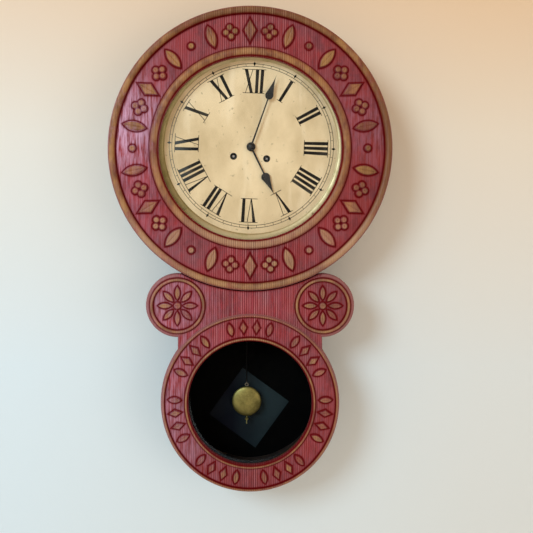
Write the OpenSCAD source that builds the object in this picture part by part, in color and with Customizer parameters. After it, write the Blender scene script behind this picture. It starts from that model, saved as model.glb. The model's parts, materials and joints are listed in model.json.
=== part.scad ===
// Wall clock with a figure-eight front of moulded papier-mache, an eight-day striking movement
// behind a round dial, and a pendulum behind the lower glass.
// Every module draws in the clock's front view: x to the right, y up and z out from the wall,
// with y = 0 at the centre of the upper ring. on_wall() then stands the result upright, with the
// origin at the hanger hole on the wall plane.

/* [Case] */
// Height of the hanger hole above the centre of the upper ring
hang_h = 170; // [160:1:178]
// Distance from the centre of the upper ring to the centre of the lower ring
ring_spacing = 414.3; // [410:0.1:420]
// Radius of the round upper case
case_r = 212; // [208:1:214]
// Radius of the round lower case
low_case_r = 134; // [130:1:136]
// Half width of the case at its waist
waist_case = 110; // [104:1:112]
// Thickness of the bent case sides
wall_t = 9; // [7:0.5:10]
// Thickness of the back board
board_t = 10; // [9:0.5:10]
// Distance of the case's front edge from the wall
case_front = 84; // [84:0.1:84.5]
// Radius of the hole in the hanger plate
hang_hole_r = 5; // [4:0.1:6]
// Length of each side of the plain sheet pasted inside the case
sheet_w = 101; // [90:1:110]
// Turn of that sheet
sheet_turn = 54; // [0:1:90]

/* [Doors] */
// Outer radius of the upper door
upper_r = 231.5; // [231:0.1:233]
// Radius of the round opening in the upper door
upper_hole_r = 149.1; // [148:0.1:150]
// Width of the upper door's raised outer rim
outer_rim_w = 12.8; // [11:0.1:14]
// Width of the upper door's raised inner rim
inner_rim_w = 15.4; // [14:0.1:16]
// Outer radius of the lower door's round part
lower_r = 146; // [145:0.1:147]
// Radius of the round opening in the lower door
lower_hole_r = 100.7; // [100:0.1:102]
// Outer radius of each small roundel
roundel_r = 52; // [51:0.5:53]
// Distance of each roundel from the middle line
roundel_x = 118.2; // [117:0.1:119]
// Distance of the roundels below the centre of the upper ring
roundel_drop = 256.4; // [255:0.1:258]
// Half width of the lower door at its waist
waist_door = 118; // [116:0.5:119]
// Height of the raised ornaments above the doors' face
relief_h = 4.2; // [3:0.1:5]
// Gap between the two doors
door_gap = 1.8; // [1:0.1:2.2]

/* [Dial and hands] */
// Radius of the brass ring's opening round the dial
bezel_r = 143.6; // [142:0.1:145]
// Offset of the dial to the right of the upper ring's centre
dial_dx = 1.8; // [0:0.1:3]
// Offset of the dial above the upper ring's centre
dial_dy = 3.5; // [0:0.1:5]
// Length of the minute hand
minute_len = 124; // [115:1:128]
// Length of the hour hand
hour_len = 89; // [80:1:95]
// Angle of the minute hand, clockwise from upright
minute_turn = 19.6; // [0:0.1:360]
// Angle of the hour hand, clockwise from upright
hour_turn = 154.2; // [0:0.1:360]

/* [Movement] */
// Width of the movement's plates
plate_w = 116; // [112:1:120]
// Height of the movement's plates
plate_h = 112; // [108:1:116]
// Distance between the two plates
plate_gap = 32; // [32:0.1:32.4]
// Thickness of each plate
plate_t = 1.5; // [1.2:0.1:1.5]
// Teeth of each great wheel
great_n = 72; // [70:1:74]
// Teeth of the escape wheel
escape_n = 36; // [30:1:40]

/* [Pendulum and gong] */
// Distance from the suspension point to the middle of the bob
pendulum_len = 482; // [474:1:486]
// Radius of the bob
bob_r = 25.5; // [23:0.5:27]
// Radius of the gong's wire
gong_wire_r = 1.3; // [1:0.1:1.5]
// Number of half turns of the gong's wire
gong_halves = 9; // [7:1:11]

/* [Hidden] */
$fn = 96;
// Distances from the wall of the doors' back, the back of the moulding and its face, and how far
// the wooden frames stay behind the moulding's edge
door_back = case_front + 2;
relief_back = door_back + 10;
face_z = relief_back + 5;
glass_t = 2;
frame_in = 3;
frame_setback = 9;
wrap_z = door_back + 2;
// How far each glass reaches past its opening, and the thickness of the rings that hold it
upper_seat = 7.4;
lower_seat = 6.4;
glass_ring_t = 3;
// Rims, beads and shoulders of the mouldings: widths, and heights above what they stand on
inner_rim_h = 7;
outer_rim_h = 7.5;
field_dip = 0.6;
bead_w = 6.3;
ring_bead_h = 4.6;
roundel_bead_h = 4.2;
edge_bead_w = 5;
edge_bead_h = 4;
ring_shoulder_w = 2.1;
roundel_shoulder_w = 6.5;
shoulder_foot = relief_back + 0.2;
edge_step = 0.2;
// Half width of the waist between the roundels, its top and bottom, and its rounded edge
waist_top_w = 110;
waist_top_y = -180;
waist_low_y = -332;
waist_edge = 3;
// Ornaments: half width and half height of each kind, their spacing in degrees, and how deep
// they start in the moulding
long_leaf = [8.5, 20];
long_lozenge = [11, 20.5];
quatrefoil_r = 7.4;
boss_r = 6;
short_leaf = [5, 11];
short_lozenge = [6, 11];
petal = [4.6, 11.5];
petal_mid = 20.5;
upper_step = 9.6;
lower_step = 10;
ornament_sink = 2;
// Seats of the dial
dial_back = 80;
dial_t = 1;
dial_front = dial_back + dial_t;
dial_r = 152;
eyelet_r = 4.6;
// Hinge and hook places: x of each hinge line, and the middle heights of the hinges
hinge_z = case_front + 1;
upper_hinge_x = 218;
lower_hinge_x = 139;
upper_hinge_ys = [48, -48];
lower_hinge_ys = [-roundel_drop - 14, -ring_spacing];
hinge_len = 26;
leaf_t = 0.9;
barrel_r = 2.6;
pin_r = 1.2;
running = 0.05;
upper_hook_y = 16;
lower_hook_y = -ring_spacing + 16;
hook_z = 60;
hook_len = 19;
// Movement: the hub is the origin of its plan, and depth d is counted back from the front plate
front_plate_z = 67.5;
back_plate_z = front_plate_z - plate_gap;
hub = [dial_dx, dial_dy];
arbor_r = 1;
pivot_r = 0.6;
stud_r = 1;
// Modules of the wheels, in millimetres of pitch diameter for each tooth
m_great = 0.7;
m_second = 0.6;
m_centre = 0.55;
m_fine = 0.5;
m_hour = 0.4;
second_n = 54;
centre_n = 64;
third_n = 54;
strike_third_n = 48;
strike_fourth_n = 40;
minute_wheel_n = 36;
hour_wheel_n = 48;
pin12 = 12;
pin8 = 8;
pin6 = 6;
// Depths of the wheels' front faces, and their thickness
wheel_t = 1.5;
d_great = 27;
d_second = 23.5;
d_centre = 3;
d_third = 6.6;
d_escape = 14;
d_strike_third = 18;
d_strike_fourth = 11;
d_ratchet = 25.3;
ratchet_t = 1.4;
ratchet_r = 9;
spring_d0 = 8.6;
spring_d1 = 22.8;
spring_turns = 8;
spring_strip = 0.6;
spring_pitch = 1.9;
// Places of the arbors, seen from the front
centre_at = [0, 0];
time_great_at = [26, -19.5];
strike_great_at = [-29, -15.5];
escape_at = [-6.5, 24];
verge_at = [-6.5, 42];
time_second_at = meet(time_great_at, reach(great_n, pin12, m_great),
                      centre_at, reach(second_n, pin12, m_second), -1);
time_third_at = meet(centre_at, reach(centre_n, pin8, m_centre),
                     escape_at, reach(third_n, pin6, m_fine), 1);
strike_second_at = strike_great_at + reach(great_n, pin12, m_great) * [cos(100), sin(100)];
strike_third_at = strike_second_at + reach(second_n, pin8, m_second) * [cos(71), sin(71)];
strike_fourth_at = strike_third_at + reach(strike_third_n, pin8, m_fine) * [cos(45), sin(45)];
fly_at = strike_fourth_at + reach(strike_fourth_n, pin6, m_fine) * [cos(137), sin(137)];
minute_wheel_at = reach(minute_wheel_n, pin12, m_fine) * [cos(250), sin(250)];
count_at = [-33, 17];
hammer_at = [-45, -38];
pillar_at = [[-52, -44], [52, -44], [-52, 50], [52, 50]];
// The pendulum hangs behind the movement
rod_z = 22;
suspension = hub + verge_at;
bob_y = suspension[1] - pendulum_len;
gong_at = [-95, -105];
gong_z = 22;
gong_pitch = 5.4;
gong_r0 = 6;
sheet_at = [-0.5, -452];

// Distance between the arbors of a wheel and its pinion
function reach(wheel, pinion, m) = (wheel + pinion) * m / 2;
// Point at distance ra from a and rb from b; side picks one of the two
function meet(a, ra, b, rb, side) =
    let (v = b - a, l = norm(v), u = v / l, s = (l * l + ra * ra - rb * rb) / (2 * l))
    a + s * u + side * sqrt(ra * ra - s * s) * [-u[1], u[0]];
// Direction from a to b
function toward(a, b) = atan2(b[1] - a[1], b[0] - a[0]);
// Points of an arc of an ellipse
function arc(cx, cy, a, b, from, to, steps) =
    [for (i = [0:steps]) let (t = from + (to - from) * i / steps) [cx + a * cos(t), cy + b * sin(t)]];
// Half width of a hand's blade at the share t of its length
function blade(t) = t < 0.2 ? sqrt(1 - pow((0.2 - t) / 0.2, 2)) : pow((1 - t) / 0.8, 1.5);

module on_wall() {
    rotate([90, 0, 0]) translate([0, -hang_h, 0]) children();
}

// Places its children on the movement's plan, at a depth behind the front plate
module in_movement(at, d = 0) {
    translate([hub[0] + at[0], hub[1] + at[1], front_plate_z - d]) children();
}

module disc(r, z0, z1) {
    translate([0, 0, z0]) cylinder(r = r, h = z1 - z0);
}

module ring(r0, r1, z0, z1) {
    difference() {
        disc(r1, z0, z1);
        disc(r0, z0 - 1, z1 + 1);
    }
}

module block(x0, x1, y0, y1, z0, z1) {
    translate([x0, y0, z0]) cube([x1 - x0, y1 - y0, z1 - z0]);
}

// Figure-eight outline of the case
module case_outline(inset, z0, z1) {
    disc(case_r - inset, z0, z1);
    translate([0, -ring_spacing, 0]) disc(low_case_r - inset, z0, z1);
    block(-waist_case + inset, waist_case - inset, -ring_spacing + 60, -100, z0, z1);
}

module back_board() {
    color("#4a2c1c") on_wall() difference() {
        case_outline(0, 0, board_t);
        block(-25, 25, hang_h - 17, hang_h + 17, -1, 2);
        translate([0, hang_h, 0]) disc(9, -1, 8);
        for (x = [-18, 18], y = [-11, 11]) translate([x, hang_h + y, 0]) disc(1.6, -1, 8);
    }
}

module case_sides() {
    color("#2a1a14") on_wall() difference() {
        case_outline(0, board_t, case_front);
        case_outline(wall_t, board_t - 1, case_front + 1);
        for (s = [[upper_hook_y, case_r], [lower_hook_y, low_case_r]])
            translate([-s[1] - 1, s[0], hook_z]) rotate([0, 90, 0]) cylinder(r = 1.3, h = 12);
    }
}

module hanger_plate() {
    color("#8d8a84") on_wall() difference() {
        block(-25, 25, hang_h - 17, hang_h + 17, 0, 2);
        translate([0, hang_h, 0]) disc(hang_hole_r, -1, 3);
        for (x = [-18, 18], y = [-11, 11]) translate([x, hang_h + y, 0]) {
            disc(1.6, -1, 3);
            translate([0, 0, -0.01]) cylinder(r1 = 3.2, r2 = 1.6, h = 1.61);
        }
    }
}

// Countersunk wood screws, flush with the plate
module hanger_screws() {
    color("#6e6a63") on_wall() for (x = [-18, 18], y = [-11, 11]) translate([x, hang_h + y, 0])
        difference() {
            union() {
                cylinder(r1 = 3.1, r2 = 1.5, h = 1.6);
                disc(1.5, 1.5, 7.9);
            }
            block(-4, 4, -0.4, 0.4, -1, 0.5);
        }
}

module case_sheet() {
    color("#1d222b") on_wall() translate([sheet_at[0], sheet_at[1], 0]) rotate(sheet_turn)
        block(-sheet_w / 2, sheet_w / 2, -sheet_w / 2, sheet_w / 2, board_t, board_t + 0.4);
}

// Wooden ring inside the upper case that carries the dial
module dial_board() {
    color("#3b2418") on_wall() difference() {
        disc(case_r - wall_t - 0.1, 72, dial_back);
        translate([hub[0], hub[1], 0]) disc(146, 71, dial_back + 1);
        translate([hub[0], hub[1], 0]) bezel_places() disc(1, 71, dial_back + 1);
    }
}

module bezel_places() {
    for (a = [45:90:315]) rotate(a - 2.3) translate([150, 0, 0]) children();
}

module dial() {
    color("#eadfc0") on_wall() translate([hub[0], hub[1], 0]) difference() {
        disc(dial_r, dial_back, dial_front);
        disc(6, dial_back - 1, dial_front + 1);
        translate(time_great_at) disc(eyelet_r, dial_back - 1, dial_front + 1);
        translate(strike_great_at) disc(eyelet_r, dial_back - 1, dial_front + 1);
        bezel_places() disc(1, dial_back - 1, dial_front + 1);
    }
}

// Dished brass ring that holds the edge of the dial
module dial_bezel() {
    color("#b08d3a") on_wall() translate([hub[0], hub[1], 0]) difference() {
        rotate_extrude() polygon(concat(
            [[bezel_r, dial_front], [bezel_r, dial_front + 0.8]],
            arc(158, dial_front + 0.8, 158 - bezel_r - 1, 3, 180, 90, 6),
            [[160, dial_front + 3.8], [160, dial_front + 2.6], [154, dial_front]]));
        bezel_places() disc(1, dial_front - 1, dial_front + 5);
    }
}

module bezel_screws() {
    color("#b08d3a") on_wall() translate([hub[0], hub[1], 0]) bezel_places() difference() {
        union() {
            disc(0.95, 73, dial_front + 3.7);
            disc(1.9, dial_front + 3.7, dial_front + 4.8);
        }
        block(-3, 3, -0.25, 0.25, dial_front + 4.3, dial_front + 5);
    }
}

module winding_eyelets() {
    color("#16120f") on_wall() for (at = [time_great_at, strike_great_at])
        translate([hub[0] + at[0], hub[1] + at[1], 0]) difference() {
            union() {
                disc(eyelet_r, dial_back, dial_front);
                rotate_extrude() polygon(concat([[3.4, dial_front]],
                    arc(4.6, dial_front, 1.2, 1.2, 180, 0, 8)));
            }
            disc(3.4, dial_back - 1, dial_front + 3);
        }
}

// One leaf of a hinge with its knuckles; spans lists the knuckles' lowest and highest points
module hinge_leaf(z0, spans, bore) {
    difference() {
        union() {
            block(-22, 0, -hinge_len / 2, hinge_len / 2, z0, z0 + leaf_t);
            for (s = spans) translate([0, s[0], hinge_z]) rotate([-90, 0, 0])
                cylinder(r = barrel_r, h = s[1] - s[0]);
        }
        translate([0, -hinge_len, hinge_z]) rotate([-90, 0, 0]) cylinder(r = bore, h = 2 * hinge_len);
        children();
    }
}

module hinge_places(x, ys) {
    for (y = ys) translate([x, y, 0]) children();
}

// Leaves on the case, each with two knuckles and a pin fixed in them
module case_hinges() {
    half = hinge_len / 2;
    color("#a98a45") on_wall() for (h = [[upper_hinge_x, upper_hinge_ys], [lower_hinge_x, lower_hinge_ys]])
        hinge_places(h[0], h[1]) {
            hinge_leaf(case_front, [[-half, -4.3], [4.3, half]], pin_r)
                block(-barrel_r - 0.4, barrel_r + 1, -4.3, 4.3, case_front - 4, case_front + 5);
            translate([0, -half - 1, hinge_z]) rotate([-90, 0, 0]) cylinder(r = pin_r, h = hinge_len + 2);
        }
}

module door_leaves(x, ys) {
    half = hinge_len / 2;
    color("#a98a45") on_wall() hinge_places(x, ys)
        hinge_leaf(door_back - leaf_t, [[-4, 4]], pin_r + running) {
            block(-barrel_r - 0.4, barrel_r + 1, 4, half + 1, case_front - 4, case_front + 6);
            block(-barrel_r - 0.4, barrel_r + 1, -half - 1, -4, case_front - 4, case_front + 6);
        }
}

// Recesses in a door for the hinge barrels
module hinge_recess(x, ys) {
    hinge_places(x, ys)
        block(-barrel_r - 1.2, barrel_r + 1.2, -hinge_len / 2 - 2, hinge_len / 2 + 2,
              door_back - 1, hinge_z + barrel_r + 1);
}

module hook_studs() {
    color("#8e7a4a") on_wall() for (s = [[upper_hook_y, case_r], [lower_hook_y, low_case_r]])
        translate([-s[1], s[0], hook_z]) rotate([0, -90, 0]) {
            disc(1.25, -8, 6.6);
            disc(2.4, 6.6, 7.8);
        }
}

// Hook that hangs from its stud, with a finger at its free end
module hook(x, y) {
    color("#8e7a4a") on_wall() translate([x, y, hook_z]) {
        difference() {
            union() {
                rotate([0, -90, 0]) disc(3, 4, 5.6);
                block(-5.6, -4, -hook_len, 0, -1, 1);
                translate([0, -hook_len, 0]) rotate([0, -90, 0]) disc(1, 4, 8.5);
            }
            rotate([0, -90, 0]) disc(1.25 + running, 0, 9);
        }
    }
}

// Screw eye on the back of a door, for the hook's finger
module door_eye(x, y) {
    color("#8e7a4a") on_wall() translate([x - 8.5, y, 0]) {
        translate([0, 0, hook_z + hook_len]) rotate([0, 90, 0]) rotate_extrude()
            translate([2.8, 0]) circle(r = 0.8);
        disc(0.8, hook_z + hook_len + 2.6, door_back);
    }
}

// Outlines of the raised ornaments, from half their width and half their height
module lozenge(w, h) {
    polygon([[w, 0], [0, h], [-w, 0], [0, -h]]);
}

module leaf(w, h) {
    r = (h * h + w * w) / (2 * w);
    intersection() {
        translate([r - w, 0]) circle(r = r);
        translate([w - r, 0]) circle(r = r);
    }
}

module quatrefoil(r) {
    for (a = [0:90:270]) rotate(a) translate([r, 0]) circle(r = 0.8 * r);
}

module upper_profile() {
    rim0 = upper_hole_r + inner_rim_w;
    rim1 = upper_r - outer_rim_w;
    polygon(concat(
        [[upper_hole_r, relief_back]],
        arc(upper_hole_r + inner_rim_w / 2, face_z + 1, inner_rim_w / 2, inner_rim_h, 180, 0, 8),
        [[rim0, face_z], [(rim0 + rim1) / 2, face_z - field_dip], [rim1, face_z]],
        arc(upper_r - outer_rim_w / 2, face_z + 0.5, outer_rim_w / 2, outer_rim_h, 180, 0, 8),
        [[upper_r, wrap_z], [upper_r - frame_in, wrap_z], [upper_r - frame_in, relief_back]]));
}

// Six groups of five ornaments, with a small boss between the groups
module upper_ornaments() {
    mid = (upper_hole_r + inner_rim_w + upper_r - outer_rim_w) / 2;
    for (g = [0:5], k = [-2:2]) rotate(90 - g * 60 - k * upper_step)
        translate([mid, 0, face_z - ornament_sink]) rotate(-90)
            linear_extrude(relief_h + ornament_sink) {
                if (abs(k) == 2) leaf(long_leaf[0], long_leaf[1]);
                if (abs(k) == 1) quatrefoil(quatrefoil_r);
                if (k == 0) lozenge(long_lozenge[0], long_lozenge[1]);
            }
    for (g = [0:5]) rotate(60 - g * 60) translate([mid, 0, 0])
        disc(boss_r, face_z - ornament_sink, face_z + relief_h);
}

module upper_door_relief() {
    color("#9c2230") on_wall() {
        rotate_extrude() upper_profile();
        upper_ornaments();
    }
}

module upper_door_frame() {
    color("#5a3322") on_wall() difference() {
        ring(upper_hole_r + upper_seat + 0.5, upper_r - frame_in, door_back, relief_back);
        hinge_recess(upper_hinge_x, upper_hinge_ys);
    }
}

module upper_glass() {
    color("#cfe3e0", 0.3) on_wall()
        disc(upper_hole_r + upper_seat, relief_back - glass_t, relief_back);
}

module upper_glass_ring() {
    color("#a8874a") on_wall()
        ring(upper_hole_r + 1, upper_hole_r + upper_seat + 0.4,
             relief_back - glass_t - glass_ring_t, relief_back - glass_t);
}

module upper_door_leaves() {
    door_leaves(upper_hinge_x, upper_hinge_ys);
}

module upper_door_eye() {
    door_eye(-case_r, upper_hook_y);
}

module upper_hook() {
    hook(-case_r, upper_hook_y);
}

// Outline of the lower door: round part, two roundels and the waist, cut back round the upper door
module lower_outline(inset, z0, z1) {
    difference() {
        union() {
            translate([0, -ring_spacing, 0]) disc(lower_r - inset, z0, z1);
            for (s = [-1, 1]) translate([s * roundel_x, -roundel_drop, 0]) disc(roundel_r - inset, z0, z1);
            block(-waist_door + inset, waist_door - inset, waist_low_y, -roundel_drop, z0, z1);
            block(-waist_top_w, waist_top_w, -roundel_drop - 1, waist_top_y, z0, z1);
        }
        disc(upper_r + door_gap, z0 - 1, z1 + 1);
    }
}

// Panel of the waist with rounded side edges
module waist_panel(w, y0, y1) {
    z1 = face_z - 1;
    translate([0, y1, 0]) rotate([90, 0, 0]) linear_extrude(y1 - y0) polygon(concat(
        [[-w + edge_step, relief_back]],
        arc(-w + edge_step + waist_edge, shoulder_foot, waist_edge, z1 - shoulder_foot, 180, 90, 4),
        arc(w - edge_step - waist_edge, shoulder_foot, waist_edge, z1 - shoulder_foot, 90, 0, 4),
        [[w - edge_step, relief_back]]));
}

// Round part of the lower door: an inner bead, the field, an edge bead and a shoulder
module lower_ring_profile() {
    edge = lower_r - edge_step;
    polygon(concat(
        [[lower_hole_r - 1, relief_back], [lower_hole_r - 1, face_z]],
        arc(lower_hole_r + bead_w / 2, face_z, bead_w / 2, ring_bead_h, 180, 0, 8),
        arc(lower_r - ring_shoulder_w - edge_bead_w / 2, face_z, edge_bead_w / 2, edge_bead_h, 180, 0, 8),
        arc(lower_r - ring_shoulder_w, shoulder_foot, ring_shoulder_w - edge_step,
            face_z - shoulder_foot - 0.2, 90, 0, 4),
        [[edge, relief_back]]));
}

// Roundel: a flat floor, a bead, and a shoulder that falls away to the edge
module roundel_profile() {
    floor_z = face_z - 0.3;
    bead_mid = roundel_r - roundel_shoulder_w - bead_w / 2;
    polygon(concat(
        [[0, relief_back], [0, floor_z]],
        arc(bead_mid, floor_z, bead_w / 2, roundel_bead_h, 180, 0, 8),
        arc(roundel_r - roundel_shoulder_w, shoulder_foot, roundel_shoulder_w - edge_step,
            floor_z - shoulder_foot - 0.1, 90, 0, 6),
        [[roundel_r - edge_step, relief_back]]));
}

// Seven groups of four ornaments on the round part
module lower_ornaments() {
    mid = (lower_hole_r + bead_w + lower_r - ring_shoulder_w - edge_bead_w) / 2;
    for (g = [0:6], k = [0:3]) rotate(90 - g * 360 / 7 - (k - 1.5) * lower_step)
        translate([mid, 0, face_z - ornament_sink]) rotate(-90)
            linear_extrude(relief_h - 1 + ornament_sink) {
                if (k == 0 || k == 3) leaf(short_leaf[0], short_leaf[1]);
                if (k == 1 || k == 2) lozenge(short_lozenge[0], short_lozenge[1]);
            }
}

// Eight petals round a boss
module roundel_ornament() {
    for (a = [0:45:315]) rotate(a) translate([petal_mid, 0, face_z - ornament_sink]) rotate(-90)
        linear_extrude(relief_h - 1.4 + ornament_sink) leaf(petal[0], petal[1]);
    disc(boss_r, face_z - ornament_sink, face_z + relief_h - 1);
}

module lower_door_relief() {
    color("#a52a35") on_wall() difference() {
        union() {
            difference() {
                lower_outline(0, wrap_z, relief_back + 0.1);
                lower_outline(frame_in, wrap_z - 1, relief_back);
            }
            waist_panel(waist_door, waist_low_y, -roundel_drop);
            waist_panel(waist_top_w, -roundel_drop - 1, waist_top_y);
            translate([0, -ring_spacing, 0]) {
                rotate_extrude() lower_ring_profile();
                lower_ornaments();
            }
            for (s = [-1, 1]) translate([s * roundel_x, -roundel_drop, 0]) {
                rotate_extrude() roundel_profile();
                roundel_ornament();
            }
        }
        translate([0, -ring_spacing, 0]) disc(lower_hole_r, door_back, face_z + 10);
        disc(upper_r + door_gap, door_back, face_z + 10);
    }
}

module lower_door_frame() {
    color("#5a3322") on_wall() difference() {
        lower_outline(frame_in, door_back, relief_back);
        disc(upper_r + door_gap + frame_setback, door_back - 1, relief_back + 1);
        translate([0, -ring_spacing, 0])
            disc(lower_hole_r + lower_seat + 0.5, door_back - 1, relief_back + 1);
        hinge_recess(lower_hinge_x, lower_hinge_ys);
    }
}

module lower_glass() {
    color("#cfe3e0", 0.3) on_wall() translate([0, -ring_spacing, 0])
        disc(lower_hole_r + lower_seat, relief_back - glass_t, relief_back);
}

module lower_glass_ring() {
    color("#3a2a1c") on_wall() translate([0, -ring_spacing, 0])
        ring(lower_hole_r + 1, lower_hole_r + lower_seat + 0.4,
             relief_back - glass_t - glass_ring_t, relief_back - glass_t);
}

module lower_door_leaves() {
    door_leaves(lower_hinge_x, lower_hinge_ys);
}

module lower_door_eye() {
    door_eye(-low_case_r, lower_hook_y);
}

module lower_hook() {
    hook(-low_case_r, lower_hook_y);
}

// Toothed wheel with a rim and crossings; a tooth points in direction turn
module wheel(n, m, t, turn, spokes = 4) {
    rp = n * m / 2;
    cp = PI * m;
    tooth = [[-1.15 * m, -0.24 * cp], [0, -0.195 * cp], [0.9 * m, -0.08 * cp],
             [0.9 * m, 0.08 * cp], [0, 0.195 * cp], [-1.15 * m, 0.24 * cp]];
    rim = rp - 1.15 * m - max(1.6, 0.09 * rp);
    translate([0, 0, -t]) linear_extrude(t) rotate(turn) {
        difference() {
            polygon([for (i = [0:n - 1], p = tooth)
                let (r = rp + p[0], a = 360 * i / n + asin(p[1] / r)) [r * cos(a), r * sin(a)]]);
            circle(r = rim);
        }
        circle(r = max(3, 0.2 * rp));
        for (i = [0:spokes - 1]) rotate(360 * i / spokes) translate([0, -0.9]) square([rim + 0.4, 1.8]);
    }
}

// Lantern pinion round the wheel layer that starts at depth 0; a gap points in direction turn
module lantern(n, m, t, turn) {
    rp = n * m / 2;
    rho = 0.19 * PI * m;
    cap = rp + 1.3 * rho;
    for (z = [0.9, -t - 1.7]) disc(cap, z, z + 0.8);
    for (i = [0:n - 1]) rotate(turn + 180 / n + 360 * i / n) translate([rp, 0, 0])
        translate([0, 0, -t - 1]) cylinder(r = rho, h = t + 2, $fn = 16);
}

// Steel arbor between the plates, with thinner pivots in the plates' holes
module arbor(r = arbor_r, front = 0.3, back = 0.3) {
    disc(r, -plate_gap + back, -front);
    disc(pivot_r, -plate_gap - plate_t, plate_t);
}

module wheel_arbor(at, wn, wm, wd, wdriven, pn, pm, pd, pdriver) {
    color("#b8923f") on_wall() in_movement(at) {
        arbor();
        translate([0, 0, -wd]) wheel(wn, wm, wheel_t, toward(at, wdriven));
        translate([0, 0, -pd]) lantern(pn, pm, wheel_t, toward(at, pdriver));
    }
}

module plate_outline() {
    translate([-plate_w / 2, -plate_h / 2 + 3]) square([plate_w, plate_h]);
}

module plate_bores(z0, z1) {
    for (at = [time_second_at, time_third_at, escape_at, strike_second_at, strike_third_at,
               strike_fourth_at, fly_at, hammer_at])
        translate(at) disc(pivot_r + running, z0, z1);
    for (at = [time_great_at, strike_great_at]) translate(at) disc(2.5 + running, z0, z1);
    for (at = pillar_at) translate(at) disc(1.5, z0, z1);
}

// Front plate with the studs of the minute wheel and the count wheel
module front_plate() {
    color("#c09a45") on_wall() in_movement(centre_at) {
        difference() {
            linear_extrude(plate_t) difference() {
                plate_outline();
                translate([0, -36]) circle(r = 9);
                translate([34, 34]) circle(r = 11);
            }
            plate_bores(-1, plate_t + 1);
            disc(1.5 + running, -1, plate_t + 1);
            translate(verge_at) disc(pivot_r + running, -1, plate_t + 1);
        }
        translate(minute_wheel_at) disc(stud_r, 0, 10.4);
        translate(count_at) disc(stud_r, 0, 6.4);
    }
}

module back_plate() {
    color("#c09a45") on_wall() in_movement(centre_at, plate_gap) difference() {
        translate([0, 0, -plate_t]) linear_extrude(plate_t) difference() {
            plate_outline();
            translate([0, -36]) circle(r = 9);
            translate([34, 34]) circle(r = 11);
        }
        plate_bores(-plate_t - 1, 1);
        disc(pivot_r + running, -plate_t - 1, 1);
        translate(verge_at) disc(4, -plate_t - 1, 1);
    }
}

module pillars() {
    color("#b8923f") on_wall() in_movement(centre_at) for (at = pillar_at) translate(at) {
        disc(3, -plate_gap, 0);
        disc(1.45, -plate_gap - plate_t, plate_t + 3);
    }
}

module movement_blocks() {
    color("#6b4228") on_wall() for (s = [-1, 1])
        block(hub[0] + s * 52 - 6, hub[0] + s * 52 + 6, hub[1] - 52, hub[1] + 58,
              board_t, back_plate_z - plate_t);
}

// Nuts on the pillars' threaded ends
module movement_fasteners() {
    color("#7d7a75") on_wall() in_movement(centre_at) for (at = pillar_at) translate(at) difference() {
        translate([0, 0, plate_t]) cylinder(r = 3.2, h = 2.4, $fn = 6);
        disc(1.5, plate_t - 1, plate_t + 4);
    }
}

// Strip wound in half turns whose centres step from side to side
module coil_strip(turns, r0, pitch, strip, width) {
    for (i = [0:2 * turns - 1])
        translate([i % 2 == 0 ? 0 : pitch / 2, 0, 0]) rotate(i % 2 == 0 ? 0 : 180)
            rotate_extrude(angle = 180) translate([r0 + i * pitch / 2, 0]) square([strip, width]);
}

module mainsprings() {
    color("#5c6470") on_wall() for (at = [time_great_at, strike_great_at]) in_movement(at, spring_d1)
        translate([-spring_pitch / 4, 0, 0])
            coil_strip(spring_turns, 3.3, spring_pitch, spring_strip, spring_d1 - spring_d0);
}

module suspension_post() {
    color("#b8923f") on_wall() translate([suspension[0], suspension[1], 0]) {
        block(-9, 9, -1, 12, board_t, rod_z - 6);
        for (s = [-1, 1]) block(s * 2.6 - 1.8, s * 2.6 + 1.8, -1, 8, rod_z - 6.5, rod_z + 4);
    }
}

module gong_base() {
    color("#3a3a3c") on_wall() translate([gong_at[0], gong_at[1], 0]) {
        disc(15, board_t, board_t + 2.5);
        disc(4.4, board_t + 2, gong_z + 4);
    }
}

// Gong wire in half turns, whose inner end is clamped in the post
module gong() {
    color("#4f5a68") on_wall() translate([gong_at[0], gong_at[1], gong_z])
        for (i = [0:gong_halves - 1])
            translate([i % 2 == 0 ? 0 : gong_pitch / 2, 0, 0]) rotate(i % 2 == 0 ? 0 : 180)
                rotate_extrude(angle = 180) translate([gong_r0 + i * gong_pitch / 2, 0])
                    circle(r = gong_wire_r);
}

module centre_arbor() {
    color("#b8923f") on_wall() in_movement(centre_at) {
        disc(1.5, -plate_gap + 0.3, 23.4);
        disc(pivot_r, -plate_gap - plate_t, -plate_gap + 1);
        translate([0, 0, -d_centre]) wheel(centre_n, m_centre, wheel_t, toward(centre_at, time_third_at));
        translate([0, 0, -d_second]) lantern(pin12, m_second, wheel_t, toward(centre_at, time_second_at));
    }
}

module cannon_pinion() {
    color("#8f8b84") on_wall() in_movement(centre_at) difference() {
        union() {
            translate([0, 0, 4.4]) lantern(pin12, m_fine, 1.2, toward(centre_at, minute_wheel_at));
            disc(2.2, plate_t + 0.3, 21.4);
        }
        disc(1.5, -1, 23);
    }
}

module hand_shape(length, root_w, blade_l, blade_w, boss) {
    steps = 20;
    foot = length - blade_l;
    circle(r = boss);
    polygon([[-root_w, 0], [root_w, 0], [root_w * 0.7, foot + 2], [-root_w * 0.7, foot + 2]]);
    polygon(concat(
        [for (i = [0:steps]) let (t = i / steps) [max(0.15, blade_w * blade(t)), foot + blade_l * t]],
        [for (i = [steps:-1:0]) let (t = i / steps) [-max(0.15, blade_w * blade(t)), foot + blade_l * t]]));
}

module minute_hand() {
    color("#20242c") on_wall() translate([hub[0], hub[1], 88]) difference() {
        rotate(-minute_turn) linear_extrude(0.9) hand_shape(minute_len, 1.5, 42, 6.8, 6.2);
        disc(2.2, -1, 2);
    }
}

module hand_nut() {
    color("#20242c") on_wall() translate([hub[0], hub[1], 0]) difference() {
        rotate_extrude() polygon(concat([[0, 88.9]], arc(0, 88.9, 5, 2.6, 0, 90, 6)));
        disc(1.5, 80, 91);
    }
}

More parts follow.
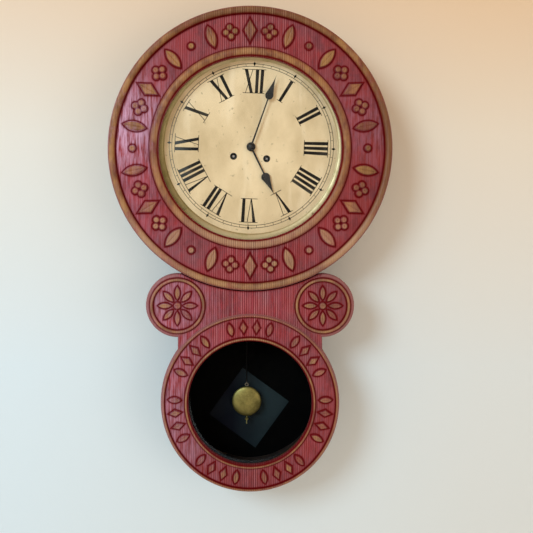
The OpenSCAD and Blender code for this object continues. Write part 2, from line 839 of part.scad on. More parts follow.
module hour_wheel() {
    color("#b8923f") on_wall() in_movement(centre_at) difference() {
        union() {
            translate([0, 0, 8.3]) wheel(hour_wheel_n, m_hour, 1.2, toward(centre_at, minute_wheel_at));
            disc(3.6, 7.1, 18);
        }
        disc(2.2 + running, -1, 22);
    }
}

module hour_hand() {
    color("#20242c") on_wall() translate([hub[0], hub[1], 84.6]) difference() {
        rotate(-hour_turn) linear_extrude(0.9) hand_shape(hour_len, 1.7, 41, 7.3, 7.4);
        disc(3.6, -1, 2);
    }
}

// Turns on a stud of the front plate: driven by the cannon pinion, drives the hour wheel
module minute_wheel() {
    color("#b8923f") on_wall() in_movement(minute_wheel_at) difference() {
        union() {
            translate([0, 0, 4.4]) wheel(minute_wheel_n, m_fine, 1.2, toward(minute_wheel_at, centre_at));
            translate([0, 0, 8.3]) lantern(pin12, m_hour, 1.2, toward(minute_wheel_at, centre_at));
            disc(1.8, plate_t + 0.3, 6.4);
        }
        disc(stud_r + running, -1, 12);
    }
}

// Great wheel that turns free on its winding arbor, with its click
module great_wheel(at, driven) {
    color("#c09a45") on_wall() in_movement(at) difference() {
        union() {
            translate([0, 0, -d_great]) wheel(great_n, m_great, 2, toward(at, driven));
            disc(7, -d_great - 2, -d_great);
            rotate(toward(at, driven) + 90) {
                translate([14.5, 0, 0]) disc(1.6, -d_great - 1, -d_ratchet);
                translate([9.6, -3, -d_great + 0.3]) linear_extrude(1.3)
                    polygon([[0, 4.4], [4.5, 0.6], [6.5, 3], [5, 5]]);
            }
        }
        disc(2.5 + running, -plate_gap, 0);
    }
}

module ratchet(n, r, depth, t) {
    linear_extrude(t) polygon([for (i = [0:n - 1], k = [0, 1])
        let (a = 360 * (i + (k == 0 ? 0 : 0.12)) / n, q = k == 0 ? r : r - depth) [q * cos(a), q * sin(a)]]);
}

// Winding arbor with its ratchet; the squared front end shows in the dial's hole
module winding_arbor(at) {
    color("#8f8b84") on_wall() in_movement(at) {
        disc(2.5, -plate_gap - plate_t, 7);
        translate([0, 0, -d_ratchet - ratchet_t]) ratchet(16, ratchet_r, 1.5, ratchet_t);
        translate([-1.6, -1.6, 7]) cube([3.2, 3.2, 6]);
    }
}

module time_great_wheel() {
    great_wheel(time_great_at, time_second_at);
}

module time_winding_arbor() {
    winding_arbor(time_great_at);
}

module time_second_arbor() {
    wheel_arbor(time_second_at, second_n, m_second, d_second, centre_at, pin12, m_great, d_great,
                time_great_at);
}

module time_third_arbor() {
    wheel_arbor(time_third_at, third_n, m_fine, d_third, escape_at, pin8, m_centre, d_centre, centre_at);
}

module strike_great_wheel() {
    great_wheel(strike_great_at, strike_second_at);
}

module strike_winding_arbor() {
    winding_arbor(strike_great_at);
}

module strike_second_arbor() {
    wheel_arbor(strike_second_at, second_n, m_second, d_second, strike_third_at, pin12, m_great, d_great,
                strike_great_at);
}

module strike_third_arbor() {
    wheel_arbor(strike_third_at, strike_third_n, m_fine, d_strike_third, strike_fourth_at,
                pin8, m_second, d_second, strike_second_at);
}

module strike_fourth_arbor() {
    wheel_arbor(strike_fourth_at, strike_fourth_n, m_fine, d_strike_fourth, fly_at,
                pin8, m_fine, d_strike_third, strike_third_at);
}

// Air brake that paces the strike
module fly() {
    color("#c9b06a") on_wall() in_movement(fly_at) {
        arbor(0.8);
        translate([0, 0, -d_strike_fourth])
            lantern(pin6, m_fine, wheel_t, toward(fly_at, strike_fourth_at));
        block(-9, 9, -0.5, 0.5, -8.4, -1.5);
    }
}

// Escape wheel with long raked teeth
module escape_wheel() {
    r = 13;
    root = 10.4;
    color("#c09a45") on_wall() in_movement(escape_at) {
        arbor();
        translate([0, 0, -d_escape - 1]) linear_extrude(1) {
            difference() {
                polygon([for (i = [0:escape_n - 1], k = [0:2])
                    let (a = 360 * (i + [0, 0.12, 0.75][k]) / escape_n, q = k < 2 ? [r, root][k] : root)
                    [q * cos(a), q * sin(a)]]);
                circle(r = 8.4);
            }
            circle(r = 2.6);
            for (a = [0:90:270]) rotate(a) translate([0, -0.7]) square([9, 1.4]);
        }
        translate([0, 0, -d_third]) lantern(pin6, m_fine, wheel_t, toward(escape_at, time_third_at));
    }
}

// Pallet strip above the escape wheel, its arbor, and the crutch that pushes the rod
module verge() {
    color("#7f8894") on_wall() in_movement(verge_at) {
        disc(0.8, -plate_gap - plate_t - 5.5, -0.3);
        disc(pivot_r, -1, plate_t);
        translate([0, 0, -d_escape - 1.6]) linear_extrude(2.2)
            polygon([[-10.7, -7], [-9.9, -7.4], [-6, -3.4], [0, -1.6], [6, -3.4], [9.9, -7.4],
                     [10.7, -7], [7.2, -2], [0, 1.6], [-7.2, -2]]);
        translate([0, 0, -plate_gap - plate_t - 5.5]) {
            block(-0.8, 0.8, -32, 0, 0, 1.2);
            for (s = [-1, 1]) block(s * 2.2 - 0.6, s * 2.2 + 0.6, -32, -30.4, -10, 1.2);
            block(-2.8, 2.8, -32, -30.4, 0, 1.2);
        }
    }
}

// Steel strip that bends at the suspension, the rod below it and the loop above the bob
module pendulum_rod() {
    color("#9a968e") on_wall() translate([suspension[0], suspension[1], rod_z]) {
        block(-0.15, 0.15, -14, 6, -2, 2);
        block(-1.2, 1.2, -17, -12, -2.6, 2.6);
        translate([0, -pendulum_len + bob_r + 5.6, 0]) rotate([-90, 0, 0])
            cylinder(r = 1.1, h = pendulum_len - bob_r - 5.6 - 16);
        translate([0, -pendulum_len + bob_r + 3.4, 0]) rotate_extrude()
            translate([2.6, 0]) circle(r = 0.8);
    }
}

// Lens-shaped bob with the threaded tail on which its nut runs
module pendulum_bob() {
    color("#a8934a") on_wall() translate([suspension[0], bob_y, rod_z]) {
        rotate_extrude() polygon(concat(
            arc(0, -0.8, bob_r, 5.6, -90, 0, 10), arc(0, 0.8, bob_r, 5.6, 0, 90, 10)));
        translate([0, -bob_r - 14, 0]) rotate([-90, 0, 0]) cylinder(r = 0.9, h = 16);
    }
}

module rating_nut() {
    color("#a8934a") on_wall() translate([suspension[0], bob_y - bob_r - 4, rod_z])
        rotate([90, 0, 0]) difference() {
            cylinder(r = 3.2, h = 2.4);
            disc(0.9, -1, 4);
        }
}

// Hammer on its arbor: an arm that steps back below the plates, and a round head beside the gong
module hammer() {
    back = gong_z - front_plate_z;
    color("#7f8894") on_wall() in_movement(hammer_at) {
        arbor();
        block(-0.8, 0.8, -26, 0, -20.8, -19.2);
        block(-0.8, 0.8, -26, -24.4, back - 0.8, -19.2);
        block(-0.8, 0.8, -66, -24.4, back - 0.8, back + 0.8);
        translate([0, -70, back]) rotate([0, 90, 0]) disc(4.5, -6, 4);
    }
}

// Locking plate in front of the movement, with its slots for the hours
module count_wheel() {
    color("#c09a45") on_wall() in_movement(count_at) difference() {
        union() {
            disc(16, 3, 4);
            disc(3, plate_t + 0.3, 5.4);
        }
        for (h = [1:12]) rotate(360 * (h * (h + 1) / 2) / 90) translate([14, -0.5, 2]) cube([3, 1, 3]);
        for (a = [0:60:300]) rotate(a) translate([9, 0, 0]) disc(2.6, 2, 6);
        disc(stud_r + running, -1, 8);
    }
}

back_board();
case_sides();
hanger_plate();
hanger_screws();
case_sheet();
dial_board();
dial();
dial_bezel();
bezel_screws();
winding_eyelets();
case_hinges();
hook_studs();
gong_base();
gong();
movement_blocks();
movement_fasteners();
front_plate();
back_plate();
pillars();
mainsprings();
suspension_post();
upper_door_frame();
upper_door_relief();
upper_glass();
upper_glass_ring();
upper_door_leaves();
upper_door_eye();
upper_hook();
lower_door_frame();
lower_door_relief();
lower_glass();
lower_glass_ring();
lower_door_leaves();
lower_door_eye();
lower_hook();
centre_arbor();
cannon_pinion();
minute_hand();
hand_nut();
hour_wheel();
hour_hand();
minute_wheel();
time_great_wheel();
time_winding_arbor();
time_second_arbor();
time_third_arbor();
escape_wheel();
verge();
pendulum_rod();
pendulum_bob();
rating_nut();
strike_great_wheel();
strike_winding_arbor();
strike_second_arbor();
strike_third_arbor();
strike_fourth_arbor();
fly();
hammer();
count_wheel();
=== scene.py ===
import json
import math

import bmesh
import bpy
import numpy as np
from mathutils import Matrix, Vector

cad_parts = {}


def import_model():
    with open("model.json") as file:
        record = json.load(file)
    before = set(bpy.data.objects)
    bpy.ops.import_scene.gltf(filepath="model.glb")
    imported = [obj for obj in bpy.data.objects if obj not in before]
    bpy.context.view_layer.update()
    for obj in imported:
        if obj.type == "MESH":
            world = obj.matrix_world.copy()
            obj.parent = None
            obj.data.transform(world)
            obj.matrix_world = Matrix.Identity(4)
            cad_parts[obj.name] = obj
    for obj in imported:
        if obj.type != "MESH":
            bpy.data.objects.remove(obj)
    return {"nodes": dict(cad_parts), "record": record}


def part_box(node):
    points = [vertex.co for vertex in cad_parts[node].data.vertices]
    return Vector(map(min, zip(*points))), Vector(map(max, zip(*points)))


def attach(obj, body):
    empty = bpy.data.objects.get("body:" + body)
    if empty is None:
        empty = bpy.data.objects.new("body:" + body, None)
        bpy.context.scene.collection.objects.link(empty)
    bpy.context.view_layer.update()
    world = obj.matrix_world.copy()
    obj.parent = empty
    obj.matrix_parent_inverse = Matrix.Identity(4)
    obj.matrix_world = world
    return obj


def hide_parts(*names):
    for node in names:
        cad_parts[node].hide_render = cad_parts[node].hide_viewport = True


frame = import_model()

bl_info = {
    "name": "Moulded wall clock finish",
    "version": (1, 0, 0),
    "blender": (4, 5, 0),
    "location": "3D View > Sidebar > Clock",
    "description": "Mouldings, dial printing, brass, wood and glass of a moulded wall clock",
    "category": "Add Mesh",
}

# Lengths below are millimetres in the clock's front view: x to the right, y up from the centre of
# the upper ring, z out from the wall.
MM = 0.001
# Height of the frame's origin, the hanger hole, above the centre of the upper ring
HANG = -sum(corner[2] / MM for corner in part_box("upper_glass")) / 2


def box_mm(node):
    """Box of a CAD node in the front view: (x0, x1), (y0, y1), (z0, z1)."""
    low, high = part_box(node)
    return ((low[0] / MM, high[0] / MM), (low[2] / MM + HANG, high[2] / MM + HANG),
            (-high[1] / MM, -low[1] / MM))


def middle(node):
    (x0, x1), (y0, y1), _ = box_mm(node)
    return (x0 + x1) / 2, (y0 + y1) / 2


def half_width(node):
    (x0, x1), _, _ = box_mm(node)
    return (x1 - x0) / 2


# Centres of the two rings and of the dial
UPPER = middle("upper_glass")
LOWER = middle("lower_glass")
HUB = middle("dial")
# Thickness of the mouldings, and of the skin that wraps back round the doors' edges
THICK = 5
SKIN = 3
# Distances from the wall: the moulding's back, its flat face, the lowest edge of its skin, the dial
BACK = box_mm("upper_glass")[2][1]
FACE = BACK + THICK
WRAP = box_mm("upper_door_relief")[2][0]
DIAL = box_mm("dial")[2][1]
# How far the mouldings cover the edges of the glasses
SEAT = {"upper_glass": 7.4, "lower_glass": 6.4}
UPPER_R = half_width("upper_door_relief")
UPPER_HOLE = half_width("upper_glass") - SEAT["upper_glass"]
LOWER_R = LOWER[1] - box_mm("lower_door_relief")[1][0]
LOWER_HOLE = half_width("lower_glass") - SEAT["lower_glass"]
ROUNDEL_R = 52
ROUNDEL_X = half_width("lower_door_relief") - ROUNDEL_R
ROUNDEL_Y = -256.4
# Radius of the circle of leaves in a roundel
ROSETTE = 20.5
# Half the width of the waist, and the gap between the two doors
WAIST = 118
DOOR_GAP = 1.8


def world(x, y, z):
    """Points of the front view as scene coordinates in metres."""
    x, y, z = np.broadcast_arrays(x, y, z)
    return np.stack([x, -z, y - HANG], axis=-1) * MM


# Property groups

def number(name, description, value, **options):
    return bpy.props.FloatProperty(name=name, description=description, default=value, **options)


def length(name, description, value):
    return number(name, description, value * MM, unit="LENGTH", precision=5)


def colour(name, description, value):
    return bpy.props.FloatVectorProperty(name=name, description=description, default=value,
                                         subtype="COLOR", size=3, min=0, max=1)


class ClockMoulding(bpy.types.PropertyGroup):
    rib_pitch: length("Rib pitch", "Distance between the fine upright ribs of the mouldings", 3.6)
    rib_height: length("Rib height", "Height of the fine upright ribs", 0.34)
    relief: length("Ornament height", "Height of the raised ornaments above the face", 4.2)
    outer_rim: length("Outer rim", "Width of the upper door's outer rim", 12.8)
    inner_rim: length("Inner rim", "Width of the upper door's inner rim", 15.4)
    red: colour("Red", "Paint of the fields", (0.305, 0.021, 0.027))
    # Deep red also paints the shade on the right of the fields, away from the main light
    deep: colour("Deep red", "Paint of the fields where it is least faded", (0.205, 0.014, 0.010))
    mauve: colour("Mauve", "Faded paint of the fields", (0.195, 0.058, 0.068))
    # Colour of the painted sheen that the main light leaves on the left of the fields
    sheen: colour("Sheen", "Pale bloom on the paint, at the left", (0.65, 0.36, 0.50))
    # Colour of the painted highlights on the tops of the ribs
    rubbed_and_lit: colour("Rubbed and lit", "Tops of the ribs where the paint is rubbed", (0.60, 0.29, 0.29))
    gilt: colour("Gilt", "Worn bronze paint of rims and ornaments", (0.36, 0.170, 0.050))
    brown: colour("Brown", "Darkened bronze paint", (0.135, 0.045, 0.014))
    tan: colour("Tan", "Bronze paint worn to its pale ground", (0.44, 0.25, 0.145))
    # Dark red border at the feet of ornaments and rims, which also paints the shade in their
    # creases
    line: colour("Line", "Dark red line round the ornaments", (0.115, 0.001, 0.0015))


class ClockDial(bpy.types.PropertyGroup):
    paper: colour("Paper", "Aged paper of the dial", (0.84, 0.65, 0.385))
    stain: colour("Stain", "Darker clouds in the paper", (0.62, 0.46, 0.25))
    pale: colour("Pale", "Pale streaks in the paper", (0.93, 0.76, 0.50))
    ink: colour("Ink", "Printing ink of the dial", (0.015, 0.012, 0.009))
    numeral_in: length("Numeral foot", "Radius of the feet of the numerals", 87.2)
    numeral_h: length("Numeral height", "Height of the numerals", 40)
    stroke: length("Stroke", "Width of a heavy stroke", 5.2)
    hairline: length("Hairline", "Width of a thin stroke", 1.0)
    track_out: length("Track outside", "Outer radius of the minute track", 136.2)
    track_in: length("Track inside", "Inner radius of the minute track", 131.8)
    turn: number("Turn", "Clockwise turn of the printed dial", math.radians(2.3), subtype="ANGLE")


class ClockMetal(bpy.types.PropertyGroup):
    brass: colour("Brass", "Aged brass", (0.52, 0.41, 0.225))
    tarnish: colour("Tarnish", "Darkened brass", (0.36, 0.30, 0.095))
    steel: colour("Steel", "Bright steel", (0.42, 0.41, 0.39))
    blued: colour("Blued steel", "Blackened steel of the hands", (0.058, 0.056, 0.052))


class ClockWood(bpy.types.PropertyGroup):
    case: colour("Case", "Dark stain of the case", (0.022, 0.013, 0.009))
    frame: colour("Door frames", "Stain of the door frames", (0.16, 0.075, 0.04))
    block: colour("Blocks", "Plain wood behind the movement", (0.36, 0.22, 0.11))


class ClockStage(bpy.types.PropertyGroup):
    distance: number("Distance", "From the camera to the clock's face", 1.05, unit="LENGTH")
    light: number("Light", "Power of the main soft light in watts", 52, min=0)
    ambient: number("Ambient", "Strength of the light all round", 0.68, min=0)
    daylight: colour("Daylight", "Colour of the main light", (0.60, 0.83, 1.0))
    room: colour("Room", "Colour of the light all round", (1.0, 0.79, 0.60))
    # The two wall colours paint the room's light: cool daylight at the lower left, warm light at
    # the upper right
    wall: colour("Wall", "Wall at the lower left", (0.70, 0.78, 0.81))
    warm: colour("Warm wall", "Wall at the upper right", (0.825, 0.64, 0.44))


# Meshes

def new_object(name, data):
    made = bpy.data.objects.new(name, data)
    bpy.context.scene.collection.objects.link(made)
    return made


def make_object(name, points, faces):
    """Mesh object from points in metres and a list of arrays of polygons."""
    mesh = bpy.data.meshes.new(name)
    mesh.vertices.add(len(points))
    mesh.vertices.foreach_set("co", np.asarray(points, dtype=np.float32).ravel())
    corners = np.concatenate([np.asarray(f).ravel() for f in faces])
    sizes = np.concatenate([np.full(len(f), np.shape(f)[1]) for f in faces])
    starts = np.concatenate([[0], np.cumsum(sizes)[:-1]])
    mesh.loops.add(len(corners))
    mesh.loops.foreach_set("vertex_index", corners.astype(np.int32))
    mesh.polygons.add(len(sizes))
    mesh.polygons.foreach_set("loop_start", starts.astype(np.int32))
    mesh.update(calc_edges=True)
    mesh.validate()
    mesh.shade_smooth()
    mesh.set_sharp_from_angle(angle=math.radians(40))
    return new_object(name, mesh)


def add_value(piece, name, values):
    """Stores one number for each vertex, which the materials read."""
    layer = piece.data.attributes.new(name, "FLOAT", "POINT")
    layer.data.foreach_set("value", np.asarray(values, dtype=np.float32).ravel())


def loop_faces(columns, rows, closed):
    """Quads of a grid whose rows close on themselves and whose columns may."""
    i = np.arange(columns if closed else columns - 1)[:, None]
    j = np.arange(rows)[None, :]
    i2, j2 = (i + 1) % columns, (j + 1) % rows
    quads = np.stack([i * rows + j, i * rows + j2, i2 * rows + j2, i2 * rows + j], axis=-1)
    return quads.reshape(-1, 4)


def finish_piece(piece, body, slot, material, *nodes):
    """Gives a piece its material and the body it rides on, and hides the nodes it replaces.
    The argument slot is not used.
    """
    piece.data.materials.append(material)
    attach(piece, body)
    if nodes:
        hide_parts(*nodes)


def finish_moulding(piece, door, paint):
    finish_piece(piece, door, "moulding", paint, door + "_relief")


def merge_doubles(piece):
    bm = bmesh.new()
    bm.from_mesh(piece.data)
    bmesh.ops.remove_doubles(bm, verts=bm.verts, dist=1e-7)
    bm.to_mesh(piece.data)
    bm.free()


def lathe(name, centre, profile, count, sculpt=None, reach=None, axis="out"):
    """Ring or disc turned from a closed profile of (radius, height, share of the sculpting)."""
    radius, height, share = np.array(profile, dtype=float).T
    angle = np.arange(count)[:, None] * 2 * math.pi / count
    radius = np.broadcast_to(radius, (count, len(profile)))
    if reach:
        radius = reach(radius, angle)
    x, y = radius * np.cos(angle), radius * np.sin(angle)
    z = np.broadcast_to(height, x.shape)
    values = {}
    if sculpt:
        lift, values = sculpt(x + centre[0], y + centre[1], x, y)
        z = z + share * lift
    if axis == "out":
        points = world(x + centre[0], y + centre[1], z)
    else:
        points = world(x + centre[0], z + centre[1], centre[2] - y)
    piece = make_object(name, points.reshape(-1, 3), [loop_faces(count, len(profile), True)])
    for key, value in values.items():
        add_value(piece, key, value)
    return piece


def prism(outline, z0, z1):
    """Points and faces of a flat shape with thickness; the outline runs anticlockwise."""
    outline = np.array(outline, dtype=float)
    n = len(outline)
    points = np.concatenate([np.c_[outline, np.full(n, z0)], np.c_[outline, np.full(n, z1)]])
    i = np.arange(n)
    sides = np.stack([i, (i + 1) % n, (i + 1) % n + n, i + n], axis=-1)
    return points, [sides, i[None, ::-1], i[None, :] + n]


def join_shapes(name, shapes):
    """One object from a list of (points, faces) in the front view."""
    points, faces, start = [], [], 0
    for shape_points, shape_faces in shapes:
        points.append(shape_points)
        faces += [f + start for f in shape_faces]
        start += len(shape_points)
    points = np.concatenate(points)
    return make_object(name, world(*points.T), faces)


# Sculpting of the mouldings

def step(x, low, high):
    t = np.clip((x - low) / (high - low), 0, 1)
    return t * t * (3 - 2 * t)


def ellipse(centre, half, base, rise, count, start=180, end=0, share=1):
    """Arc of a section, as points of a lathe's profile."""
    t = np.radians(np.linspace(start, end, count))
    return [(centre + half * math.cos(a), base + rise * math.sin(a), share) for a in t]


def skirt(radius, *heights):
    """Section of the skin at a moulding's outer edge, down from the heights and in to its back."""
    return [*((radius, z, 0) for z in (*heights, WRAP + 0.6)), (radius - 0.6, WRAP, 0),
            (radius - SKIN, WRAP, 0), (radius - SKIN, BACK, 0)]


def leaf(u, v, w, h):
    r = (h * h + w * w) / (2 * w)
    return r - np.maximum(np.hypot(u - r + w, v), np.hypot(u + r - w, v))


def lozenge(u, v, w, h):
    return (1 - np.abs(u) / w - np.abs(v) / h) * w * h / math.hypot(w, h)


def quatrefoil(u, v, r):
    return 0.8 * r - np.minimum(np.hypot(np.abs(u) - r, v), np.hypot(u, np.abs(v) - r))


def boss(u, v, r, drop=0):
    return r - np.hypot(u, v + drop)


def upper_ornaments():
    """Six groups of five ornaments with a boss between them: (angle, distance function, sizes)."""
    kinds = {0: (lozenge, (11, 20.5)), 1: (quatrefoil, (7.4,)), 2: (leaf, (8.5, 20))}
    for g in range(6):
        for k in range(-2, 3):
            yield (90 - g * 60 - k * 9.6, *kinds[abs(k)])
        yield (60 - g * 60, boss, (6,))


def lower_ornaments():
    for g in range(7):
        for k in range(4):
            shape = (leaf, (5, 11)) if k in (0, 3) else (lozenge, (6, 11))
            yield (90 - g * 360 / 7 - (k - 1.5) * 10, *shape)


def roundel_ornaments():
    for k in range(8):
        yield (k * 45, leaf, (4.6, 11.5))
    yield (0, boss, (6, ROSETTE))


def distance_to(ornaments, mid, x, y):
    """Signed distance into the nearest ornament, its number, and the place across it."""
    radius, angle = np.hypot(x, y), np.degrees(np.arctan2(y, x))
    best = np.full(x.shape, -50.0)
    number, across = np.zeros(x.shape), np.zeros(x.shape)
    for k, (place, shape, sizes) in enumerate(ornaments):
        turn = np.radians((angle - place + 180) % 360 - 180)
        near = np.abs(turn) * radius < 30
        u, v = -radius[near] * np.sin(turn[near]), radius[near] * np.cos(turn[near]) - mid
        d = shape(u, v, *sizes)
        closer = d > best[near]
        where = np.flatnonzero(near.ravel())[closer]
        best.ravel()[where] = d[closer]
        number.ravel()[where] = k + 1
        across.ravel()[where] = u[closer]
    return best, number, across


def ribs(x, y, pitch):
    """Fine upright ribs, 0 to 1, each with its own strength that wanders a little."""
    k = np.round(x / pitch)
    own = 0.62 + 0.38 * np.sin(k * 12.9898 + 3.1 * np.sin(y * 0.021 + k * 1.7))
    return own * (0.5 + 0.5 * np.cos(2 * math.pi * x / pitch)) ** 1.6


# Widths of the dark red border round ornaments and round rims (painted shade in the creases there
# too), of a leaf's crease and of the middle part of the clock, where the ribs are highest
LINE, RIM_LINE, CREASE, RIBBED = 1.55, 1.45, 0.8, 95


def sculptor(s, ornaments, mid, height, ramp, rims, faded, wear):
    """Returns the function that shapes a moulding and gives its paint values.

    rims lists (inner radius, outer radius, gilding) of the gilt rims; their feet get the dark red
    border, which is also painted shade in the crease.
    Outside the radius faded the paint is pale; wear is the range of the ornaments' gilding."""
    pitch, rib_height = s.rib_pitch / MM, s.rib_height / MM
    ornaments = list(ornaments)
    wear = np.random.default_rng(len(ornaments)).uniform(*wear, len(ornaments) + 1)

    def sculpt(x, y, u, v):
        radius = np.hypot(u, v)
        d, number, across = distance_to(ornaments, mid, u, v)
        t = np.clip(d / ramp, 0, 1)
        raised = height * np.sin(t * math.pi / 2) ** 0.8
        raised -= 0.9 * np.exp(-(across / CREASE) ** 2) * step(d, ramp, ramp + 1.2)
        gilt = step(t, 0.25, 0.8) * wear[number.astype(int)]
        # foot: the dark red border at the feet of ornaments and rims, also painted shade in the
        # creases
        foot = np.exp(-((d + 0.7) / LINE) ** 2)
        for r0, r1, share in rims:
            inside = step(radius, r0, r0 + 1.2) * (1 - step(radius, r1 - 1.2, r1))
            shoulder = 1 - 0.45 * step(radius, r0 + 0.55 * (r1 - r0), r1)
            gilt = np.maximum(gilt, share * inside * shoulder)
            for r in (r0, r1):
                foot = np.maximum(foot, np.exp(-((radius - r) / RIM_LINE) ** 2))
        middle = np.exp(-(x / RIBBED) ** 2)
        lift = raised + rib_height * (0.35 + 0.65 * middle) * ribs(x, y, pitch)
        fade = step(radius, faded - 1, faded + 1)
        return lift, {"gilt": gilt * (1 - 0.85 * fade), "foot": foot, "fade": fade}

    return sculpt


# Materials

def put(tree, node, inputs):
    """Sets a node's inputs, by name or number, or links them to another node's output."""
    for key, value in inputs.items():
        socket = node.inputs[key if isinstance(key, int) else key.replace("_", " ")]
        if isinstance(value, bpy.types.NodeSocket):
            tree.links.new(value, socket)
        elif socket.type == "RGBA" and len(value) == 3:
            socket.default_value = (*value, 1)
        else:
            socket.default_value = value
    return node


class Graph:
    """Builds a material's nodes; every call returns the socket that the next one reads."""

    def __init__(self, name, **inputs):
        self.material = bpy.data.materials.new(name)
        self.material.use_nodes = True
        self.tree = self.material.node_tree
        self.shader = self.tree.nodes["Principled BSDF"]
        self.paint(**inputs)

    def node(self, kind, output=0, **inputs):
        return put(self.tree, self.tree.nodes.new(kind), inputs).outputs[output]

    def noise(self, scale, stretch=(1, 1, 1), detail=4, roughness=0.55):
        where = self.node("ShaderNodeMapping", Scale=stretch,
                          Vector=self.node("ShaderNodeTexCoord", "Object"))
        return self.node("ShaderNodeTexNoise", "Fac", Vector=where, Scale=scale, Detail=detail,
                         Roughness=roughness)

    def remap(self, value, low, high, to_low=0, to_high=1):
        return self.node("ShaderNodeMapRange", "Result", Value=value, From_Min=low, From_Max=high,
                         To_Min=to_low, To_Max=to_high)

    def math(self, operation, a, b):
        node = self.tree.nodes.new("ShaderNodeMath")
        node.operation = operation
        return put(self.tree, node, {0: a, 1: b}).outputs[0]

    def times(self, a, b):
        return self.math("MULTIPLY", a, b)

    def plus(self, a, b):
        return self.math("ADD", a, b)

    def mix(self, share, a, b, blend="MIX"):
        node = self.tree.nodes.new("ShaderNodeMix")
        node.data_type = "RGBA"
        node.blend_type = blend
        return put(self.tree, node, {0: share, 6: a, 7: b}).outputs[2]

    def coats(self, colour, *coats):
        """The colour under coats of (share, colour), the last one on top."""
        for share, coat in coats:
            colour = self.mix(share, colour, coat)
        return colour

    def value(self, name):
        node = self.tree.nodes.new("ShaderNodeAttribute")
        node.attribute_name = name
        return node.outputs["Fac"]

    def along(self, axis):
        """One Object coordinate, in metres."""
        return self.node("ShaderNodeSeparateXYZ", axis,
                         Vector=self.node("ShaderNodeTexCoord", "Object"))

    def away(self, axis, place=0):
        """Distance from a place along one axis, in metres."""
        return self.math("ABSOLUTE", self.plus(self.along(axis), -place), 0)

    def bump(self, height, distance, strength):
        self.paint(Normal=self.node("ShaderNodeBump", "Normal", Height=height, Distance=distance,
                                    Strength=strength))

    def paint(self, **inputs):
        put(self.tree, self.shader, inputs)
        return self.material


# Shades that only the mouldings' paint uses; the two valley shades and BRONZE_EDGE are painted
# shade, and BRONZE_TOP is a painted highlight
GRIME = (0.085, 0.010, 0.014)
FADED = (0.285, 0.115, 0.105)
RED_VALLEY = (0.075, 0.006, 0.008)
BRONZE_VALLEY = (0.085, 0.028, 0.012)
BRONZE_TOP = (0.55, 0.35, 0.17)
BRONZE_EDGE = (0.10, 0.05, 0.018)


def shade(colour, share):
    return tuple(min(1, share * c) for c in colour)


def upright_ribs(g, pitch):
    """Painted highlights on the tops of the fine ribs and painted shade in their valleys,
    strongest in the middle of the clock.
    """
    x, z = g.along("X"), g.along("Z")
    across = g.math("DIVIDE", x, pitch)
    wave = g.math("COSINE", g.times(across, 2 * math.pi), 0)
    spot = g.node("ShaderNodeCombineXYZ", X=g.times(g.math("ROUND", across, 0), 3.7),
                  Y=g.times(z, 11))
    own = g.remap(g.node("ShaderNodeTexNoise", "Fac", Vector=spot, Scale=1, Detail=2), 0.40, 0.66)
    middle = g.remap(g.away("X"), 0.02, 0.14, 1, 0.18)
    tops = g.times(g.remap(wave, 0.25, 1), own)
    valleys = g.remap(wave, 0.1, -0.9)
    return g.times(tops, middle), g.times(valleys, middle)


def red_paint(g, s, age, left, sheen_share, bottom, tops, valleys):
    """Faded patches, and the red of the fields, deeper at the top and bottom and deeper at the
    right, where it is painted shade on the side away from the main light.
    """
    x, z = g.along("X"), g.along("Z")
    # Deeper red at the top, the bottom and the right; at the right this is painted shade
    dark = g.math("MAXIMUM", g.math("MAXIMUM", g.remap(z, -0.16, 0, 0, 0.55), bottom),
                  g.remap(x, 0.02, 0.2))
    patches = g.remap(g.noise(15, roughness=0.6), age - 0.1, age + 0.14)
    patches = g.times(patches, g.remap(dark, 0, 1, 1, 0.45))
    stains = g.remap(g.noise(9, stretch=(2, 2, 1)), 0.52, 0.74, 0, 0.7)
    grime = g.noise(26, stretch=(1.3, 1.3, 0.8), detail=6, roughness=0.72)
    streaks = g.noise(70, stretch=(4.5, 4.5, 0.45), detail=3, roughness=0.65)
    # Painted sheen: pale streaks where the main light glances off the paint, most at the left
    sheen = g.times(g.remap(streaks, 0.38, 0.60), g.remap(x, *left, 0.14, 0.9))
    sheen = g.times(sheen, g.remap(g.away("Z", -0.135), 0.02, 0.09, 1, sheen_share))
    # Coats: deeper red (painted shade at the right), faded patches, stains, grime, painted sheen,
    # painted shade in the rib valleys and painted highlights on the rib tops
    return patches, g.coats(s.red, (g.times(dark, 0.75), s.deep), (patches, s.mauve),
                            (stains, s.deep), (g.remap(grime, 0.49, 0.66, 0, 0.62), GRIME),
                            (sheen, s.sheen), (g.times(valleys, 0.65), RED_VALLEY),
                            (g.times(tops, 0.54), s.rubbed_and_lit))


def bronze_paint(g, s, tops, valleys):
    """Bronze of rims and ornaments, darkest at the top and at the right, where it is painted shade
    on the side away from the main light, and palest below the waist.
    """
    x, z = g.along("X"), g.along("Z")
    clouds = g.remap(g.noise(60, stretch=(1, 1, 0.5)), 0.36, 0.60)
    # Darker bronze at the top and at the right; at the right this is painted shade
    dark = g.math("MAXIMUM", g.remap(z, -0.01, 0.04), g.remap(x, 0.165, 0.215))
    pale = g.times(g.remap(g.away("Z", -0.325), 0, 0.07, 0.8, 0.28), g.remap(z, -0.20, -0.30))
    # Coats: gilt clouds, darker bronze, tan below the waist, painted shade in the rib valleys,
    # painted highlights on the rib tops, and painted shade on the flanks where the gilding thins
    return g.coats(s.brown, (clouds, s.gilt), (g.times(dark, 0.8), s.brown), (pale, s.tan),
                   (g.times(valleys, 0.45), BRONZE_VALLEY), (g.times(tops, 0.5), BRONZE_TOP),
                   (g.remap(g.value("gilt"), 0.15, 0.7, 0.75, 0), BRONZE_EDGE))


